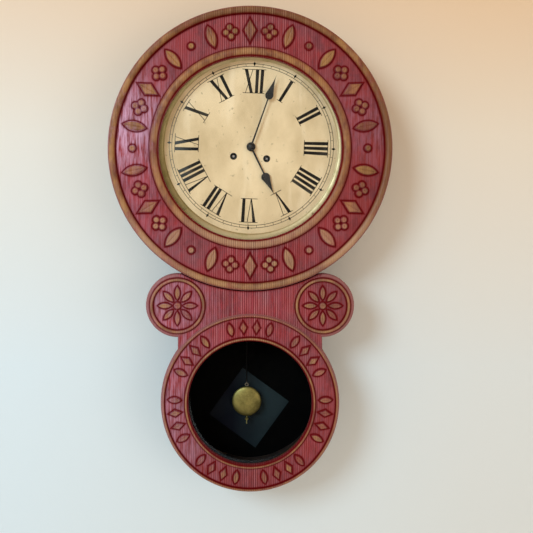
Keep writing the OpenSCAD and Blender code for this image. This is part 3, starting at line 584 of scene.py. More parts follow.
def paint_material(name, s, worn, age, left, sheen_share):
    """Paint of the mouldings. worn and age are the levels of noise above which bronze is worn away
    and red is faded. A painted sheen of pale streaks, where the main light glances off the paint,
    grows between the two places left; above and below the dial its share is the last argument."""
    g = Graph(name)
    tops, valleys = upright_ribs(g, s.rib_pitch)
    bottom = g.remap(g.along("Z"), -0.60, -0.70, 0, 0.9)
    # Fewer painted highlights on the rib tops near the bottom
    tops = g.times(tops, g.remap(bottom, 0, 1, 1, 0.45))
    patches, red = red_paint(g, s, age, left, sheen_share, bottom, tops, valleys)
    rub = g.remap(g.noise(34, detail=5, roughness=0.7), worn - 0.12, worn + 0.1)
    kept = g.times(g.value("gilt"), g.remap(rub, 0, 1, 1, 0.4))
    # The dark red border at the feet is also painted shade in the creases, and loses its gloss
    # there
    foot = g.value("foot")
    tone = g.coats(red, (g.times(g.value("fade"), 0.75), FADED),
                   (kept, bronze_paint(g, s, tops, valleys)), (foot, s.line))
    g.bump(g.noise(200), 0.0006, 0.6)
    return g.paint(Base_Color=tone, Roughness=g.remap(patches, 0, 1, 0.48, 0.6),
                   Specular_IOR_Level=g.remap(foot, 0, 0.8, 0.28, 0.03))


def grain(g):
    """Long upright grain of wood."""
    return g.noise(9, stretch=(9, 9, 0.7), detail=6, roughness=0.65)


def wood_material(name, colour, gloss=0.45):
    g = Graph(name)
    lines = grain(g)
    pores = g.noise(60, stretch=(8, 8, 0.5), detail=2)
    dark = shade(colour, 0.45)
    tone = g.coats(dark, (g.remap(lines, 0.35, 0.65), shade(colour, 1.35)),
                   (g.remap(pores, 0.55, 0.7), dark))
    g.bump(pores, 0.0003, 0.4)
    return g.paint(Base_Color=tone, Roughness=g.remap(lines, 0.3, 0.7, gloss, gloss + 0.2))


def metal_material(name, colour, dull, roughness, spots=0.5, left=0):
    """Aged metal; spots is the level of noise above which it is dull, and left is how much
    darker painted shade makes it at the clock's left."""
    g = Graph(name, Metallic=1.0)
    blotches = g.noise(45, detail=5, roughness=0.7)
    fine = g.noise(420, detail=2)
    tone = g.mix(g.remap(blotches, spots - 0.12, spots + 0.18), colour, dull)
    # Painted shade, darker towards the clock's left
    if left:
        tone = g.mix(g.remap(g.along("X"), -0.04, -0.14, 0, left), tone, shade(dull, 0.55))
    rough = g.plus(g.remap(blotches, 0.3, 0.7, roughness, roughness + 0.22),
                   g.remap(fine, 0.3, 0.7, 0, 0.08))
    g.bump(fine, 0.0001, 0.3)
    return g.paint(Base_Color=tone, Roughness=rough)


def paper_material(s):
    """Aged paper with clouds, pale upright streaks and specks."""
    g = Graph("dial paper", Specular_IOR_Level=0.25)
    clouds = g.noise(20, stretch=(1, 1, 0.6))
    fibres = g.noise(500, detail=3)
    specks = g.remap(g.noise(170, detail=1), 0.70, 0.76)
    pale = g.noise(26, stretch=(1.6, 1.6, 0.4), detail=2)
    tone = g.coats(s.paper, (g.remap(clouds, 0.36, 0.68), s.stain),
                   (g.remap(pale, 0.58, 0.72, 0, 0.45), s.pale),
                   (g.times(specks, 0.5), shade(s.stain, 0.45)))
    g.bump(fibres, 0.00008, 0.5)
    return g.paint(Base_Color=tone, Roughness=g.remap(fibres, 0.3, 0.7, 0.55, 0.7))


def glass_material(name, node, film, edge_tint):
    """Clear glass under a thin film, darker and less clear along the lower left of its edge."""
    g = Graph(name)
    (x, y), hole = middle(node), half_width(node) - SEAT[node]
    across = g.math("SUBTRACT", g.along("X"), x * MM)
    up = g.math("SUBTRACT", g.along("Z"), (y - HANG) * MM)
    radius = g.math("SQRT", g.plus(g.times(across, across), g.times(up, up)), 0)
    rim = g.remap(radius, (hole - 5) * MM, (hole - 2) * MM)
    # A darker, less clear band along the lower left of the edge
    side = g.remap(g.plus(up, g.times(across, 0.6)), -0.05, -0.09, 0, edge_tint)
    streaks = g.noise(6, detail=2)
    g.bump(streaks, 0.0006, 0.25)
    return g.paint(Base_Color=(0.020, 0.027, 0.031), Alpha=g.plus(g.times(rim, side), film),
                   Roughness=g.remap(streaks, 0.3, 0.7, 0.02, 0.06))


def ink_material(s):
    """Printing ink, worn in places, and paler at the left under a painted sheen."""
    g = Graph("dial ink", Specular_IOR_Level=0.1)
    rubbed_and_lit = g.remap(g.noise(22), 0.5, 0.72)
    # Painted sheen: paler ink at the clock's left, where the main light glances off it
    left = g.remap(g.along("X"), -0.095, -0.13)
    tone = g.coats(s.ink, (g.times(rubbed_and_lit, 0.2), (0.30, 0.25, 0.17)),
                   (g.times(left, 0.3), (0.25, 0.30, 0.30)))
    return g.paint(Base_Color=tone, Roughness=g.remap(rubbed_and_lit, 0, 1, 0.5, 0.7))


# Geometry Nodes

def circle_of_marks_tree():
    """A tree that sets copies of a mark round a circle, each turned to face outwards."""
    tree = bpy.data.node_groups.new("circle of marks", "GeometryNodeTree")
    sockets = {}
    for name, kind in (("Mark", "Object"), ("Count", "Int"), ("Radius", "Float"),
                       ("Start", "Float"), ("Material", "Material")):
        sockets[name] = tree.interface.new_socket(name=name, in_out="INPUT",
                                                  socket_type="NodeSocket" + kind)
    tree.interface.new_socket(name="Geometry", in_out="OUTPUT", socket_type="NodeSocketGeometry")

    def node(kind, **inputs):
        return put(tree, tree.nodes.new(kind), inputs)

    given = node("NodeGroupInput").outputs
    circle = node("GeometryNodeMeshCircle", Vertices=given["Count"], Radius=given["Radius"])
    turn = node("ShaderNodeCombineXYZ", Z=given["Start"])
    turned = node("GeometryNodeTransform", Geometry=circle.outputs[0], Rotation=turn.outputs[0])
    place = node("GeometryNodeInputPosition")
    facing = node("FunctionNodeAlignRotationToVector", Vector=place.outputs[0])
    facing.axis = "Y"
    facing.pivot_axis = "Z"
    mark = node("GeometryNodeObjectInfo", Object=given["Mark"])
    copies = node("GeometryNodeInstanceOnPoints", Points=turned.outputs[0],
                  Instance=mark.outputs["Geometry"], Rotation=facing.outputs[0])
    real = node("GeometryNodeRealizeInstances", Geometry=copies.outputs[0])
    painted = node("GeometryNodeSetMaterial", Geometry=real.outputs[0],
                   Material=given["Material"])
    node("NodeGroupOutput", Geometry=painted.outputs[0])
    return tree, sockets


def circle_of_marks(name, mark, count, radius, start, centre, height, material):
    """A mesh of marks round a circle of the front view, made by the tree above."""
    tree, sockets = circle_of_marks_tree()
    carrier = new_object(name + "_carrier", bpy.data.meshes.new(name + "_carrier"))
    modifier = carrier.modifiers.new("Marks", "NODES")
    modifier.node_group = tree
    given = {"Mark": mark, "Count": count, "Radius": radius, "Start": start, "Material": material}
    for key, value in given.items():
        modifier[sockets[key].identifier] = value
    graph = bpy.context.evaluated_depsgraph_get()
    graph.update()
    mesh = bpy.data.meshes.new_from_object(carrier.evaluated_get(graph), depsgraph=graph)
    if not mesh.vertices:
        raise RuntimeError(name + " came out empty")
    points = np.empty(len(mesh.vertices) * 3, dtype=np.float32)
    mesh.vertices.foreach_get("co", points)
    x, y, z = points.reshape(-1, 3).T
    points = world(x + centre[0], y + centre[1], z + height)
    mesh.vertices.foreach_set("co", points.astype(np.float32).ravel())
    mesh.update()
    carrier.modifiers.remove(modifier)
    bpy.data.objects.remove(carrier)
    return new_object(name, mesh)


def mark_object(name, outline, thickness):
    """A small flat shape for the tree to copy, in millimetres and off the scene."""
    points, faces = prism(outline, 0, thickness)
    mesh = bpy.data.meshes.new(name)
    mesh.from_pydata(points.tolist(), [], [f.tolist() for group in faces for f in group])
    return bpy.data.objects.new(name, mesh)


# Operators

# The photograph: its side and the clock's place in it, in pixels, and millimetres per pixel
PICTURE = 533
CLOCK_X = 250.1
CLOCK_Y = 148
SCALE = 1.621
# Pixel that the camera faces squarely
FOOT_X = 240
FOOT_Y = 195
SENSOR = 36
# Wall and floor in metres: half their width, the wall's face, its top, the floor and its edge
HALF, WALL, TOP, FLOOR, EDGE = 3, 0.0005, 2, -1.25, -4


class CLOCK_OT_stage(bpy.types.Operator):
    """Set up the camera, the lights, the pale wall and the pale floor"""
    bl_idname = "clock.stage"
    bl_label = "Stage"

    def execute(self, context):
        s = context.scene.clock_stage
        self.camera(context, s)
        self.lights(context, s)
        self.backdrop(s)
        context.scene.view_settings.view_transform = "Standard"
        return {"FINISHED"}

    def camera(self, context, s):
        data = bpy.data.cameras.new("camera")
        data.sensor_width = SENSOR
        data.lens = s.distance * SENSOR / (PICTURE * SCALE * MM)
        data.shift_x = (PICTURE / 2 - FOOT_X) / PICTURE
        data.shift_y = (FOOT_Y - PICTURE / 2) / PICTURE
        camera = new_object("camera", data)
        x = (FOOT_X - CLOCK_X) * SCALE
        y = (CLOCK_Y - FOOT_Y) * SCALE
        # SCALE holds at the height of the ornaments, 4 mm above the face
        camera.location = world(x, y, FACE + 4 + s.distance / MM)
        camera.rotation_euler = (math.pi / 2, 0, 0)
        context.scene.camera = camera

    def lights(self, context, s):
        main = self.lamp("main light", (-1.5, -2.3, 0.75), 1.1, s.light)
        main.data.color = s.daylight
        self.lamp("fill light", (1.9, -2.4, -0.5), 1.8, 0.22 * s.light)
        room = bpy.data.worlds.new("soft room")
        room.use_nodes = True
        put(room.node_tree, room.node_tree.nodes["Background"],
            {"Color": s.room, "Strength": s.ambient})
        context.scene.world = room

    def lamp(self, name, place, size, power):
        """Round lamp, pointed at the clock 0.3 m below its hanger."""
        data = bpy.data.lights.new(name, "AREA")
        data.shape = "DISK"
        data.size = size
        data.energy = power
        lamp = new_object(name, data)
        lamp.location = place
        x, y, z = place[0], place[1], place[2] + 0.3
        lamp.rotation_euler = (math.atan2(math.hypot(x, y), z), 0, math.atan2(y, x) + math.pi / 2)
        return lamp

    def backdrop(self, s):
        wall = self.sheet("backdrop", (WALL, FLOOR), (WALL, TOP))
        wall.data.materials.append(self.wall_material(s))
        floor = self.sheet("floor", (EDGE, FLOOR), (WALL, FLOOR))
        pale = Graph("pale floor", Roughness=0.8)
        floor.data.materials.append(pale.paint(
            Base_Color=pale.mix(pale.noise(3, detail=3), (0.72, 0.71, 0.68), (0.76, 0.75, 0.72))))

    def sheet(self, name, near, far):
        """Flat rectangle between two edges, each given by its y and z."""
        corners = [(-HALF, *near), (HALF, *near), (HALF, *far), (-HALF, *far)]
        mesh = bpy.data.meshes.new(name)
        mesh.from_pydata(corners, [], [(0, 1, 2, 3)])
        piece = new_object(name, mesh)
        return piece

    def wall_material(self, s):
        """Pale wall, clear when seen from behind; its colour paints the room's light, cool at the
        lower left and warmer at the top and on the right, and painted shade makes its top darker.
        """
        g = Graph("pale wall", Roughness=0.9, Specular_IOR_Level=0.1)
        # Painted light: warm room light towards the upper right, cool daylight towards the lower
        # left
        up = g.remap(g.along("Z"), -0.55, 0.1)
        right = g.remap(g.along("X"), -0.4, 0.4)
        tone = g.mix(g.plus(g.times(up, 0.75), g.times(right, 0.25)), s.wall, s.warm)
        # Painted shade: the top of the wall is darker and warmer
        crown = g.remap(g.along("Z"), -0.14, 0.12)
        tone = g.mix(crown, tone, g.mix(1, tone, (0.93, 0.85, 0.80), "MULTIPLY"))
        g.bump(g.noise(120, detail=3), 0.0006, 0.2)
        g.paint(Base_Color=tone)
        mixed = put(g.tree, g.tree.nodes.new("ShaderNodeMixShader"), {
            0: g.node("ShaderNodeNewGeometry", "Backfacing"), 1: g.shader.outputs[0],
            2: g.node("ShaderNodeBsdfTransparent")})
        put(g.tree, g.tree.nodes["Material Output"], {"Surface": mixed.outputs[0]})
        return g.material


# How far the field runs under the rims, and how deep it dips in the middle
TUCK, DIP = 1.2, 0.6
# Heights of the rims, which start a little above the face
INNER_RISE, OUTER_RISE = 7, 7.5


class CLOCK_OT_upper_moulding(bpy.types.Operator):
    """Make the upper door's moulding: its field with ornaments and its two rims"""
    bl_idname = "clock.upper_moulding"
    bl_label = "Upper moulding"

    def execute(self, context):
        s = context.scene.clock_moulding
        paint = paint_material("moulding paint", s, worn=0.64, age=0.56, left=(-0.11, -0.20),
                               sheen_share=0.25)
        rim_in = UPPER_HOLE + s.inner_rim / MM
        rim_out = UPPER_R - s.outer_rim / MM
        mid = (rim_in + rim_out) / 2
        rims = [(UPPER_HOLE + 1.4, rim_in, 0.85), (rim_out, UPPER_R + 1.5, 0.95)]
        sculpt = sculptor(s, upper_ornaments(), mid, s.relief / MM, 3.2, rims, UPPER_R - 2,
                          (0.6, 1))

        radii = np.linspace(rim_in - TUCK, rim_out + TUCK, 64)
        dip = DIP * np.clip(1 - np.abs(radii - mid) / (rim_out - mid), 0, 1)
        field = [(r, FACE - d, 1) for r, d in zip(radii, dip)]
        field += [(radii[-1], BACK + 1, 0), (radii[0], BACK + 1, 0)]

        half = s.inner_rim / MM / 2
        inner = ellipse(UPPER_HOLE + half, half, FACE + 1, INNER_RISE, 26)
        inner += [(rim_in, BACK, 0), (UPPER_HOLE, BACK, 0), (UPPER_HOLE, BACK + 2.5, 0)]

        half = s.outer_rim / MM / 2
        outer = ellipse(UPPER_R - half, half, FACE + 0.5, OUTER_RISE, 24)
        outer += [*skirt(UPPER_R, FACE - 3, FACE - 7), (rim_out, BACK, 0)]

        for name, profile, count in (("field", field, 1500), ("inner_rim", inner, 1300),
                                     ("outer_rim", outer, 1600)):
            piece = lathe("upper_moulding_" + name, UPPER, profile, count, sculpt)
            finish_moulding(piece, "upper_door", paint)
        return {"FINISHED"}


# Widths of the bead round the opening and in the roundels, and of the bead near the ring's edge
BEAD, EDGE_BEAD = 6.3, 5
# Widths of the rounded shoulders outside the beads, on the ring and on a roundel
SHOULDER, ROUNDEL_SHOULDER = 2.1, 6.5
# How far the waist lies below the ring's face
SINK = 0.7


class CLOCK_OT_lower_moulding(bpy.types.Operator):
    """Make the lower door's moulding: its ring, its waist and its two roundels"""
    bl_idname = "clock.lower_moulding"
    bl_label = "Lower moulding"

    def execute(self, context):
        s = context.scene.clock_moulding
        paint = paint_material("lower moulding paint", s, worn=0.56, age=0.54, left=(-0.04, -0.15),
                               sheen_share=0.5)
        self.ring(s, paint)
        self.waist(s, paint)
        for side, name in ((-1, "left_roundel"), (1, "right_roundel")):
            self.roundel(s, paint, side, name)
        return {"FINISHED"}

    def ring(self, s, paint):
        bead, edge = BEAD / 2, EDGE_BEAD / 2
        shoulder = LOWER_R - SHOULDER
        bead_in, bead_out = LOWER_HOLE + BEAD, shoulder - EDGE_BEAD
        mid = (bead_in + bead_out) / 2
        rims = [(LOWER_HOLE + 1.2, bead_in, 1), (bead_out, LOWER_R + 3, 0.85)]
        sculpt = sculptor(s, lower_ornaments(), mid, s.relief / MM - 1, 2.4, rims, LOWER_R - 3.7,
                          (0.4, 0.95))
        profile = [(LOWER_HOLE, BACK, 0), (LOWER_HOLE, BACK + 2.5, 0)]
        profile += ellipse(LOWER_HOLE + bead, bead, FACE, 4.6, 12)
        profile += [(r, FACE, 1) for r in np.linspace(bead_in, bead_out, 42)[1:-1]]
        profile += ellipse(shoulder - edge, edge, FACE, 4, 11)
        fall = ellipse(shoulder, SHOULDER - 0.2, BACK + 0.2, THICK - 0.4, 6, 90)[1:]
        profile += [(r, z, share) for (r, z, _), share in zip(fall, (0.8, 0.5, 0.3, 0.1, 0))]
        profile += skirt(LOWER_R, BACK - 0.1)
        piece = lathe("lower_moulding_ring", LOWER, profile, 1250, sculpt)
        finish_moulding(piece, "lower_door", paint)

    def roundel(self, s, paint, side, name):
        centre = (side * ROUNDEL_X, ROUNDEL_Y)
        bead, bead_out = BEAD / 2, ROUNDEL_R - ROUNDEL_SHOULDER
        bead_in = bead_out - BEAD
        rims = [(bead_in, bead_out, 1), (bead_out, ROUNDEL_R + 3, 0.2)]
        sculpt = sculptor(s, roundel_ornaments(), ROSETTE, s.relief / MM - 1.4, 2.2, rims,
                          bead_out + 1, (0.45, 0.9))
        floor = FACE - 0.3
        away = math.hypot(*centre)
        limit = UPPER_R + DOOR_GAP

        def reach(radius, angle):
            """Shortens the shoulder where the upper door passes."""
            cosine = np.cos(angle - math.atan2(-centre[1], -centre[0]))
            inside = np.maximum(limit ** 2 - away ** 2 * (1 - cosine ** 2), 0)
            to_door = away * cosine - np.sqrt(inside)
            room = np.where((cosine > 0) & (inside > 0), np.minimum(to_door, ROUNDEL_R), ROUNDEL_R)
            share = np.clip((radius - bead_out) / (ROUNDEL_R - bead_out), 0, 1)
            return np.where(share > 0, bead_out + share * (room - bead_out), radius)

        profile = [(0, floor, 1)]
        profile += [(r, floor, 1) for r in np.linspace(0.8, bead_in, 48)[:-1]]
        profile += ellipse(bead_in + bead, bead, floor, 4.2, 11)
        fall = ellipse(bead_out, ROUNDEL_SHOULDER - 0.2, BACK + 0.2, floor - BACK - 0.3, 9, 90)
        profile += [(r, z, 0.6 * (1 - k / 7)) for k, (r, z, _) in enumerate(fall[1:])]
        profile += [*skirt(ROUNDEL_R, BACK - 0.1), (0, BACK, 0)]
        piece = lathe("lower_moulding_" + name, centre, profile, 620, sculpt, reach)
        merge_doubles(piece)
        finish_moulding(piece, "lower_door", paint)

    def waist(self, s, paint):
        """Panel between the doors' arcs, built in upright columns."""
        side = np.linspace(WAIST - SKIN - 0.02, WAIST, 7)
        inner = np.linspace(-WAIST + SKIN, WAIST - SKIN, 390)
        x = np.concatenate([-side[::-1], inner, side])
        arc = UPPER_R + DOOR_GAP
        high = -np.sqrt(arc ** 2 - x ** 2)
        beside = np.abs(x) - ROUNDEL_X
        roundel_top = ROUNDEL_Y + np.sqrt(np.maximum(ROUNDEL_R ** 2 - beside ** 2, 0))
        high = np.where(np.abs(x) > WAIST - 10, np.minimum(high, roundel_top - 1), high)
        low = LOWER[1] + np.sqrt((LOWER_R - 3.5) ** 2 - x ** 2)
        y = low[:, None] + (high - low)[:, None] * np.linspace(0, 1, 60)
        x = np.broadcast_to(x[:, None], y.shape)
        rib = s.rib_height / MM * ribs(x, y, s.rib_pitch / MM)
        edge = np.clip((np.abs(x) - WAIST + SKIN) / SKIN, 0, 1)
        fall = THICK - 0.9
        z = FACE - SINK + rib * (1 - edge) - fall * (1 - np.sqrt(1 - edge ** 2))
        back = np.where(np.abs(x[:, :1]) > WAIST - SKIN, WRAP, BACK + 0.1)
        x, y = (np.concatenate([a, a[:, -1:], a[:, :1]], axis=1) for a in (x, y))
        z = np.concatenate([z, back, back], axis=1)
        columns, count = x.shape
        last = (columns - 1) * count
        faces = [loop_faces(columns, count, False)[:, ::-1], np.arange(count)[None, :],
                 np.arange(last, last + count)[None, ::-1]]
        piece = make_object("lower_moulding_waist", world(x, y, z).reshape(-1, 3), faces)
        add_value(piece, "gilt", np.zeros(x.shape))
        # Painted shade: a dark band along the gap under the upper door's arc
        add_value(piece, "foot", 0.8 * np.exp(-((arc - np.hypot(x, y)) / 1.6) ** 2))
        add_value(piece, "fade", step(np.abs(x), WAIST - 2.5, WAIST))
        finish_moulding(piece, "lower_door", paint)


NUMERALS = ["XII", "I", "II", "III", "IIII", "V", "VI", "VII", "VIII", "IX", "X", "XI"]
# Widths of the slanted letters, the gap between letters, the serifs' thickness and overhang
WIDE = {"V": 15, "X": 15.5}
GAP, SERIF, PAST = 2.9, 0.95, 3.0
# How much wider a numeral is at its top than at its foot
SPREAD = 0.10
# Thickness of the track's circles, and half the width of a tick
CIRCLE, TICK = 0.8, 0.3
# Heights of the print's back and face, just below and above the paper
UNDER, OVER = -0.05, 0.12
# The printing is not quite centred on the hub
OFFSET = (0.6, 1.8)


class CLOCK_OT_dial(bpy.types.Operator):
    """Print the dial: aged paper, hour numerals and the minute track"""
    bl_idname = "clock.dial"
    bl_label = "Dial"

    def execute(self, context):
        s = context.scene.clock_dial
        ink = ink_material(s)
        centre = (HUB[0] + OFFSET[0], HUB[1] + OFFSET[1])
        self.numerals(s, ink, centre)
        self.track(s, ink, centre)
        paint_nodes({"dial": paper_material(s)})
        return {"FINISHED"}

    def strokes(self, text, s):
        """Outlines of one numeral, upright, with its foot at y = 0."""
        heavy, thin, high = s.stroke / MM, s.hairline / MM, s.numeral_h / MM

        def stroke(foot, foot_end, top, top_end):
            return [(foot, 0), (foot_end, 0), (top_end, high), (top, high)]

        widths = [WIDE.get(c, heavy) for c in text]
        total = sum(widths) + GAP * (len(text) - 1)
        left = -total / 2
        for c, width in zip(text, widths):
            right = left + width
            if c == "I":
                yield stroke(left, right, left, right)
            if c == "V":
                foot = (left + right) / 2
                yield stroke(foot - 0.4, foot + 1.2, left, left + heavy)
                yield stroke(foot, foot + thin, right - 1 - thin, right - 1)
            if c == "X":
                yield stroke(right - heavy - 0.6, right - 0.6, left + 0.6, left + heavy + 0.6)
                yield stroke(left + 1.2, left + 1.2 + thin, right - 1.2 - thin, right - 1.2)
            left = right + GAP
        end = total / 2 + PAST
        for y in (0, high - SERIF):
            yield [(-end, y), (end, y), (end, y + SERIF), (-end, y + SERIF)]

    def numerals(self, s, ink, centre):
        shapes = []
        foot, high = s.numeral_in / MM, s.numeral_h / MM
        for hour, text in enumerate(NUMERALS):
            turn = -math.radians(30 * hour) - s.turn
            c, d = math.cos(turn), math.sin(turn)
            for outline in self.strokes(text, s):
                placed = []
                for u, v in outline:
                    u *= 1 + SPREAD * (v / high - 0.5)
                    v += foot
                    placed.append((centre[0] + u * c - v * d, centre[1] + u * d + v * c))
                shapes.append(prism(placed, DIAL + UNDER, DIAL + OVER))
        finish_piece(join_shapes("dial_numerals", shapes), "case", "dial_paper", ink)

    def track(self, s, ink, centre):
        """Two circles, ticks between them, and diamonds on the outer one."""
        out, inside = s.track_out / MM, s.track_in / MM
        low, high = DIAL + UNDER, DIAL + OVER
        for name, r in (("outer", out), ("inner", inside)):
            r0, r1 = r - CIRCLE / 2, r + CIRCLE / 2
            profile = [(r0, low, 0), (r0, high, 0), (r1, high, 0), (r1, low, 0)]
            piece = lathe("dial_track_" + name, centre, profile, 240)
            finish_piece(piece, "case", "dial_paper", ink)
        deep = (out - inside) / 2
        tick = mark_object("minute_tick", [(-TICK, -deep), (TICK, -deep), (TICK, deep),
                                           (-TICK, deep)], OVER + 0.04)
        diamond = mark_object("hour_diamond", [(0, -3.6), (2.2, 0), (0, 3.6), (-2.2, 0)],
                              OVER + 0.08)
        start = math.pi / 2 - s.turn
        for name, mark, count, radius in (("dial_ticks", tick, 60, (out + inside) / 2),
                                          ("dial_diamonds", diamond, 12, out)):
            piece = circle_of_marks(name, mark, count, radius, start, centre, DIAL - 0.03, ink)
            finish_piece(piece, "case", "dial_paper", ink)


# Width of the ring round the dial, and the height of its lip
RING, LIP = 16.4, 0.8


class CLOCK_OT_brasswork(bpy.types.Operator):
    """Turn the dished ring round the dial and the pendulum's bob, and finish the metal parts"""
    bl_idname = "clock.brasswork"
    bl_label = "Brasswork and metals"

    def execute(self, context):
        s = context.scene.clock_metal
        # The brass gets painted shade at the clock's left
        brass = metal_material("aged brass", s.brass, s.tarnish, 0.36, spots=0.62, left=0.7)
        dull = metal_material("tarnished brass", s.tarnish, shade(s.tarnish, 0.5), 0.38)
        self.bezel(brass)
        self.bob(dull)
        paint_slots({
            "brass": brass,
            "dull_brass": dull,
            "steel": metal_material("steel", s.steel, shade(s.steel, 0.55), 0.3),
            "blued_steel": metal_material("blued steel", s.blued, shade(s.blued, 0.6), 0.4),
            "spring_steel": metal_material("tempered steel", (0.25, 0.28, 0.33),
                                           (0.12, 0.12, 0.13), 0.35),
            "iron": metal_material("black iron", (0.08, 0.08, 0.085), (0.03, 0.03, 0.03), 0.5),
        })
        paint_nodes({"pendulum_rod": self.rod_material()})
        return {"FINISHED"}

    def rod_material(self):
        """Steel painted near black as the shade it hangs in, brighter at its lower end."""
        g = Graph("steel with painted shade", Metallic=1.0)
        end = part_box("pendulum_rod")[0][2]
        # Painted shade: near-black steel, darker than any real steel
        dark = g.mix(g.noise(60, detail=3), (0.006, 0.006, 0.006), (0.016, 0.015, 0.014))
        up = g.remap(g.along("Z"), end + 0.005, end + 0.009)
        return g.paint(Base_Color=g.mix(up, (0.24, 0.21, 0.15), dark),
                       Roughness=g.remap(g.noise(200, detail=2), 0.3, 0.7, 0.5, 0.65))

    def bezel(self, brass):
        (x0, x1), _, (z0, z1) = box_mm("dial_bezel")
        outer = (x1 - x0) / 2
        inner = outer - RING
        dish = ellipse(outer - 2, outer - 3 - inner, z0 + LIP, z1 - z0 - LIP, 18, 180, 90, share=0)
        profile = [(inner, z0, 0), (inner, z0 + LIP - 0.2, 0), (inner + 0.3, z0 + LIP, 0),
                   *dish[1:], (outer - 0.4, z1, 0), (outer, z1 - 0.4, 0), (outer, z1 - 1.2, 0),
                   (outer - 6, z0, 0)]
        piece = lathe("bezel_ring", HUB, profile, 288)
        finish_piece(piece, "case", "brass", brass, "dial_bezel")

    def bob(self, brass):
        """Lens with a narrow band round its edge, and the threaded tail under it."""
        (x0, x1), (y0, y1), (z0, z1) = box_mm("pendulum_bob")
        r = (x1 - x0) / 2
        centre = ((x0 + x1) / 2, y1 - r)
        mid, half, band = (z0 + z1) / 2, (z1 - z0) / 2, 0.8
        rise = half - band
        front = ellipse(0, r, mid + band, rise, 24, 90, 0, share=0)
        back = ellipse(0, r, mid - band, rise, 24, 0, -90, share=0)
        lens = lathe("bob_lens", centre, front + back, 160)
        merge_doubles(lens)
        finish_piece(lens, "pendulum", "dull_brass", brass, "pendulum_bob")
        tail_r, pitch, depth = 0.9, 0.8, 0.18
        top = centre[1] - r + 1.5
        steps = np.arange(y0, top, pitch / 2)
        thread = [(0, top, 0), (tail_r, top, 0)]
        thread += [(tail_r - depth * (k % 2), y, 0) for k, y in reversed(list(enumerate(steps)))]
        thread += [(0, y0, 0)]
        tail = lathe("bob_tail", (centre[0], 0, mid), thread, 24, axis="up")
        merge_doubles(tail)
        finish_piece(tail, "pendulum", "dull_brass", brass, "pendulum_bob")


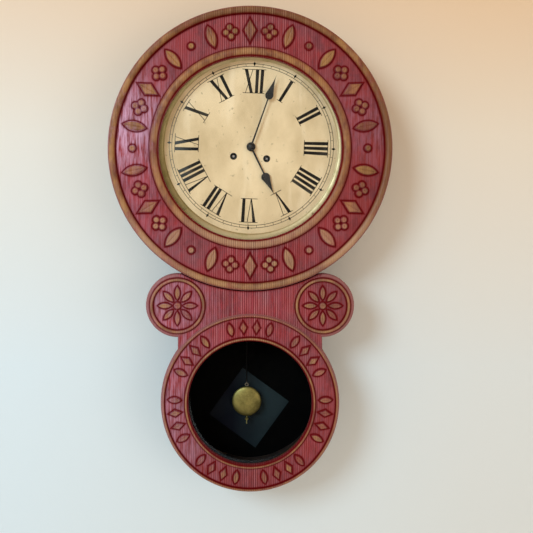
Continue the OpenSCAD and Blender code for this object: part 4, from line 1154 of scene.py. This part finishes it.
class CLOCK_OT_woodwork(bpy.types.Operator):
    """Finish the case, the door frames, the glass and the pasted sheet"""
    bl_idname = "clock.woodwork"
    bl_label = "Wood, glass and paper"

    def board_material(self, s):
        """Plain wood behind, blackened inside the case, near black as painted shade of the closed
        case.
        """
        g = Graph("back board", Roughness=0.8)
        facing = g.node("ShaderNodeSeparateXYZ", "Y", Vector=g.node("ShaderNodeTexCoord", "Normal"))
        inside = g.remap(facing, -0.5, -0.8)
        black_mottle = g.noise(30, stretch=(3, 3, 1))
        # Painted shade: the inside of the case is near black, with almost no gloss
        black = g.mix(black_mottle, (0.001, 0.001, 0.001), (0.002, 0.0018, 0.0016))
        wood = g.mix(g.remap(grain(g), 0.35, 0.65), shade(s.block, 0.2), shade(s.block, 0.5))
        return g.paint(Base_Color=g.mix(inside, wood, black),
                       Specular_IOR_Level=g.remap(inside, 0, 1, 0.3, 0.03))

    def sheet_material(self):
        """Dark pasted sheet, darker towards its left corner as painted shade."""
        g = Graph("dark sheet", Specular_IOR_Level=0.08, Roughness=0.7)
        # Painted shade: darker towards the left, where the case shades the sheet
        right = g.remap(g.along("X"), -0.03, 0.03)
        tone = g.mix(right, (0.003, 0.004, 0.008), (0.018, 0.030, 0.033))
        creases = g.noise(24)
        tone = g.mix(g.remap(creases, 0.45, 0.7, 0, 0.5), tone, (0.008, 0.011, 0.014))
        g.bump(creases, 0.0006, 0.4)
        return g.paint(Base_Color=tone)

    def execute(self, context):
        s = context.scene.clock_wood
        paint_slots({
            "case_wood": wood_material("dark stained wood", tuple(s.case), 0.5),
            "frame_wood": wood_material("stained wood", tuple(s.frame)),
            "block_wood": wood_material("plain wood", tuple(s.block), 0.6),
        })
        paint_nodes({
            "back_board": self.board_material(s),
            "case_sheet": self.sheet_material(),
            "upper_glass": glass_material("window glass", "upper_glass", film=0.012, edge_tint=0),
            "lower_glass": glass_material("lower window glass", "lower_glass", film=0, edge_tint=0.5),
        })
        return {"FINISHED"}


def paint_nodes(finishes):
    """Gives CAD nodes a new material in every slot."""
    for name, material in finishes.items():
        data = frame["nodes"][name].data
        if not data.materials:
            data.materials.append(material)
        for k in range(len(data.materials)):
            data.materials[k] = material


def paint_slots(finishes):
    """Finishes each CAD node whose record names one of these material slots."""
    paint_nodes({part["node"]: finishes[part["material_slot"]]
                 for part in frame["record"]["subparts"] if part["material_slot"] in finishes})


class CLOCK_PT_panel(bpy.types.Panel):
    """Shows the clock's settings and its operators' buttons in the 3D view's sidebar"""
    bl_idname = "CLOCK_PT_panel"
    bl_label = "Wall clock"
    bl_space_type = "VIEW_3D"
    bl_region_type = "UI"
    bl_category = "Clock"

    def draw(self, context):
        for group in GROUPS:
            box = self.layout.box()
            settings = getattr(context.scene, group)
            for name in settings.__annotations__:
                box.prop(settings, name)
        for operator in OPERATORS:
            self.layout.operator(operator.bl_idname)


GROUPS = {"clock_moulding": ClockMoulding, "clock_dial": ClockDial, "clock_metal": ClockMetal,
          "clock_wood": ClockWood, "clock_stage": ClockStage}
OPERATORS = [CLOCK_OT_stage, CLOCK_OT_upper_moulding, CLOCK_OT_lower_moulding, CLOCK_OT_dial,
             CLOCK_OT_brasswork, CLOCK_OT_woodwork]
CLASSES = [*GROUPS.values(), *OPERATORS, CLOCK_PT_panel]


def register():
    for cls in CLASSES:
        bpy.utils.register_class(cls)
    for name, cls in GROUPS.items():
        setattr(bpy.types.Scene, name, bpy.props.PointerProperty(type=cls))


def unregister():
    for name in GROUPS:
        delattr(bpy.types.Scene, name)
    for cls in reversed(CLASSES):
        bpy.utils.unregister_class(cls)


def main():
    register()
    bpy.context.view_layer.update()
    bpy.ops.clock.stage()
    bpy.ops.clock.upper_moulding()
    bpy.ops.clock.lower_moulding()
    bpy.ops.clock.dial()
    bpy.ops.clock.brasswork()
    bpy.ops.clock.woodwork()
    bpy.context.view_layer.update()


if __name__ == "__main__":
    main()
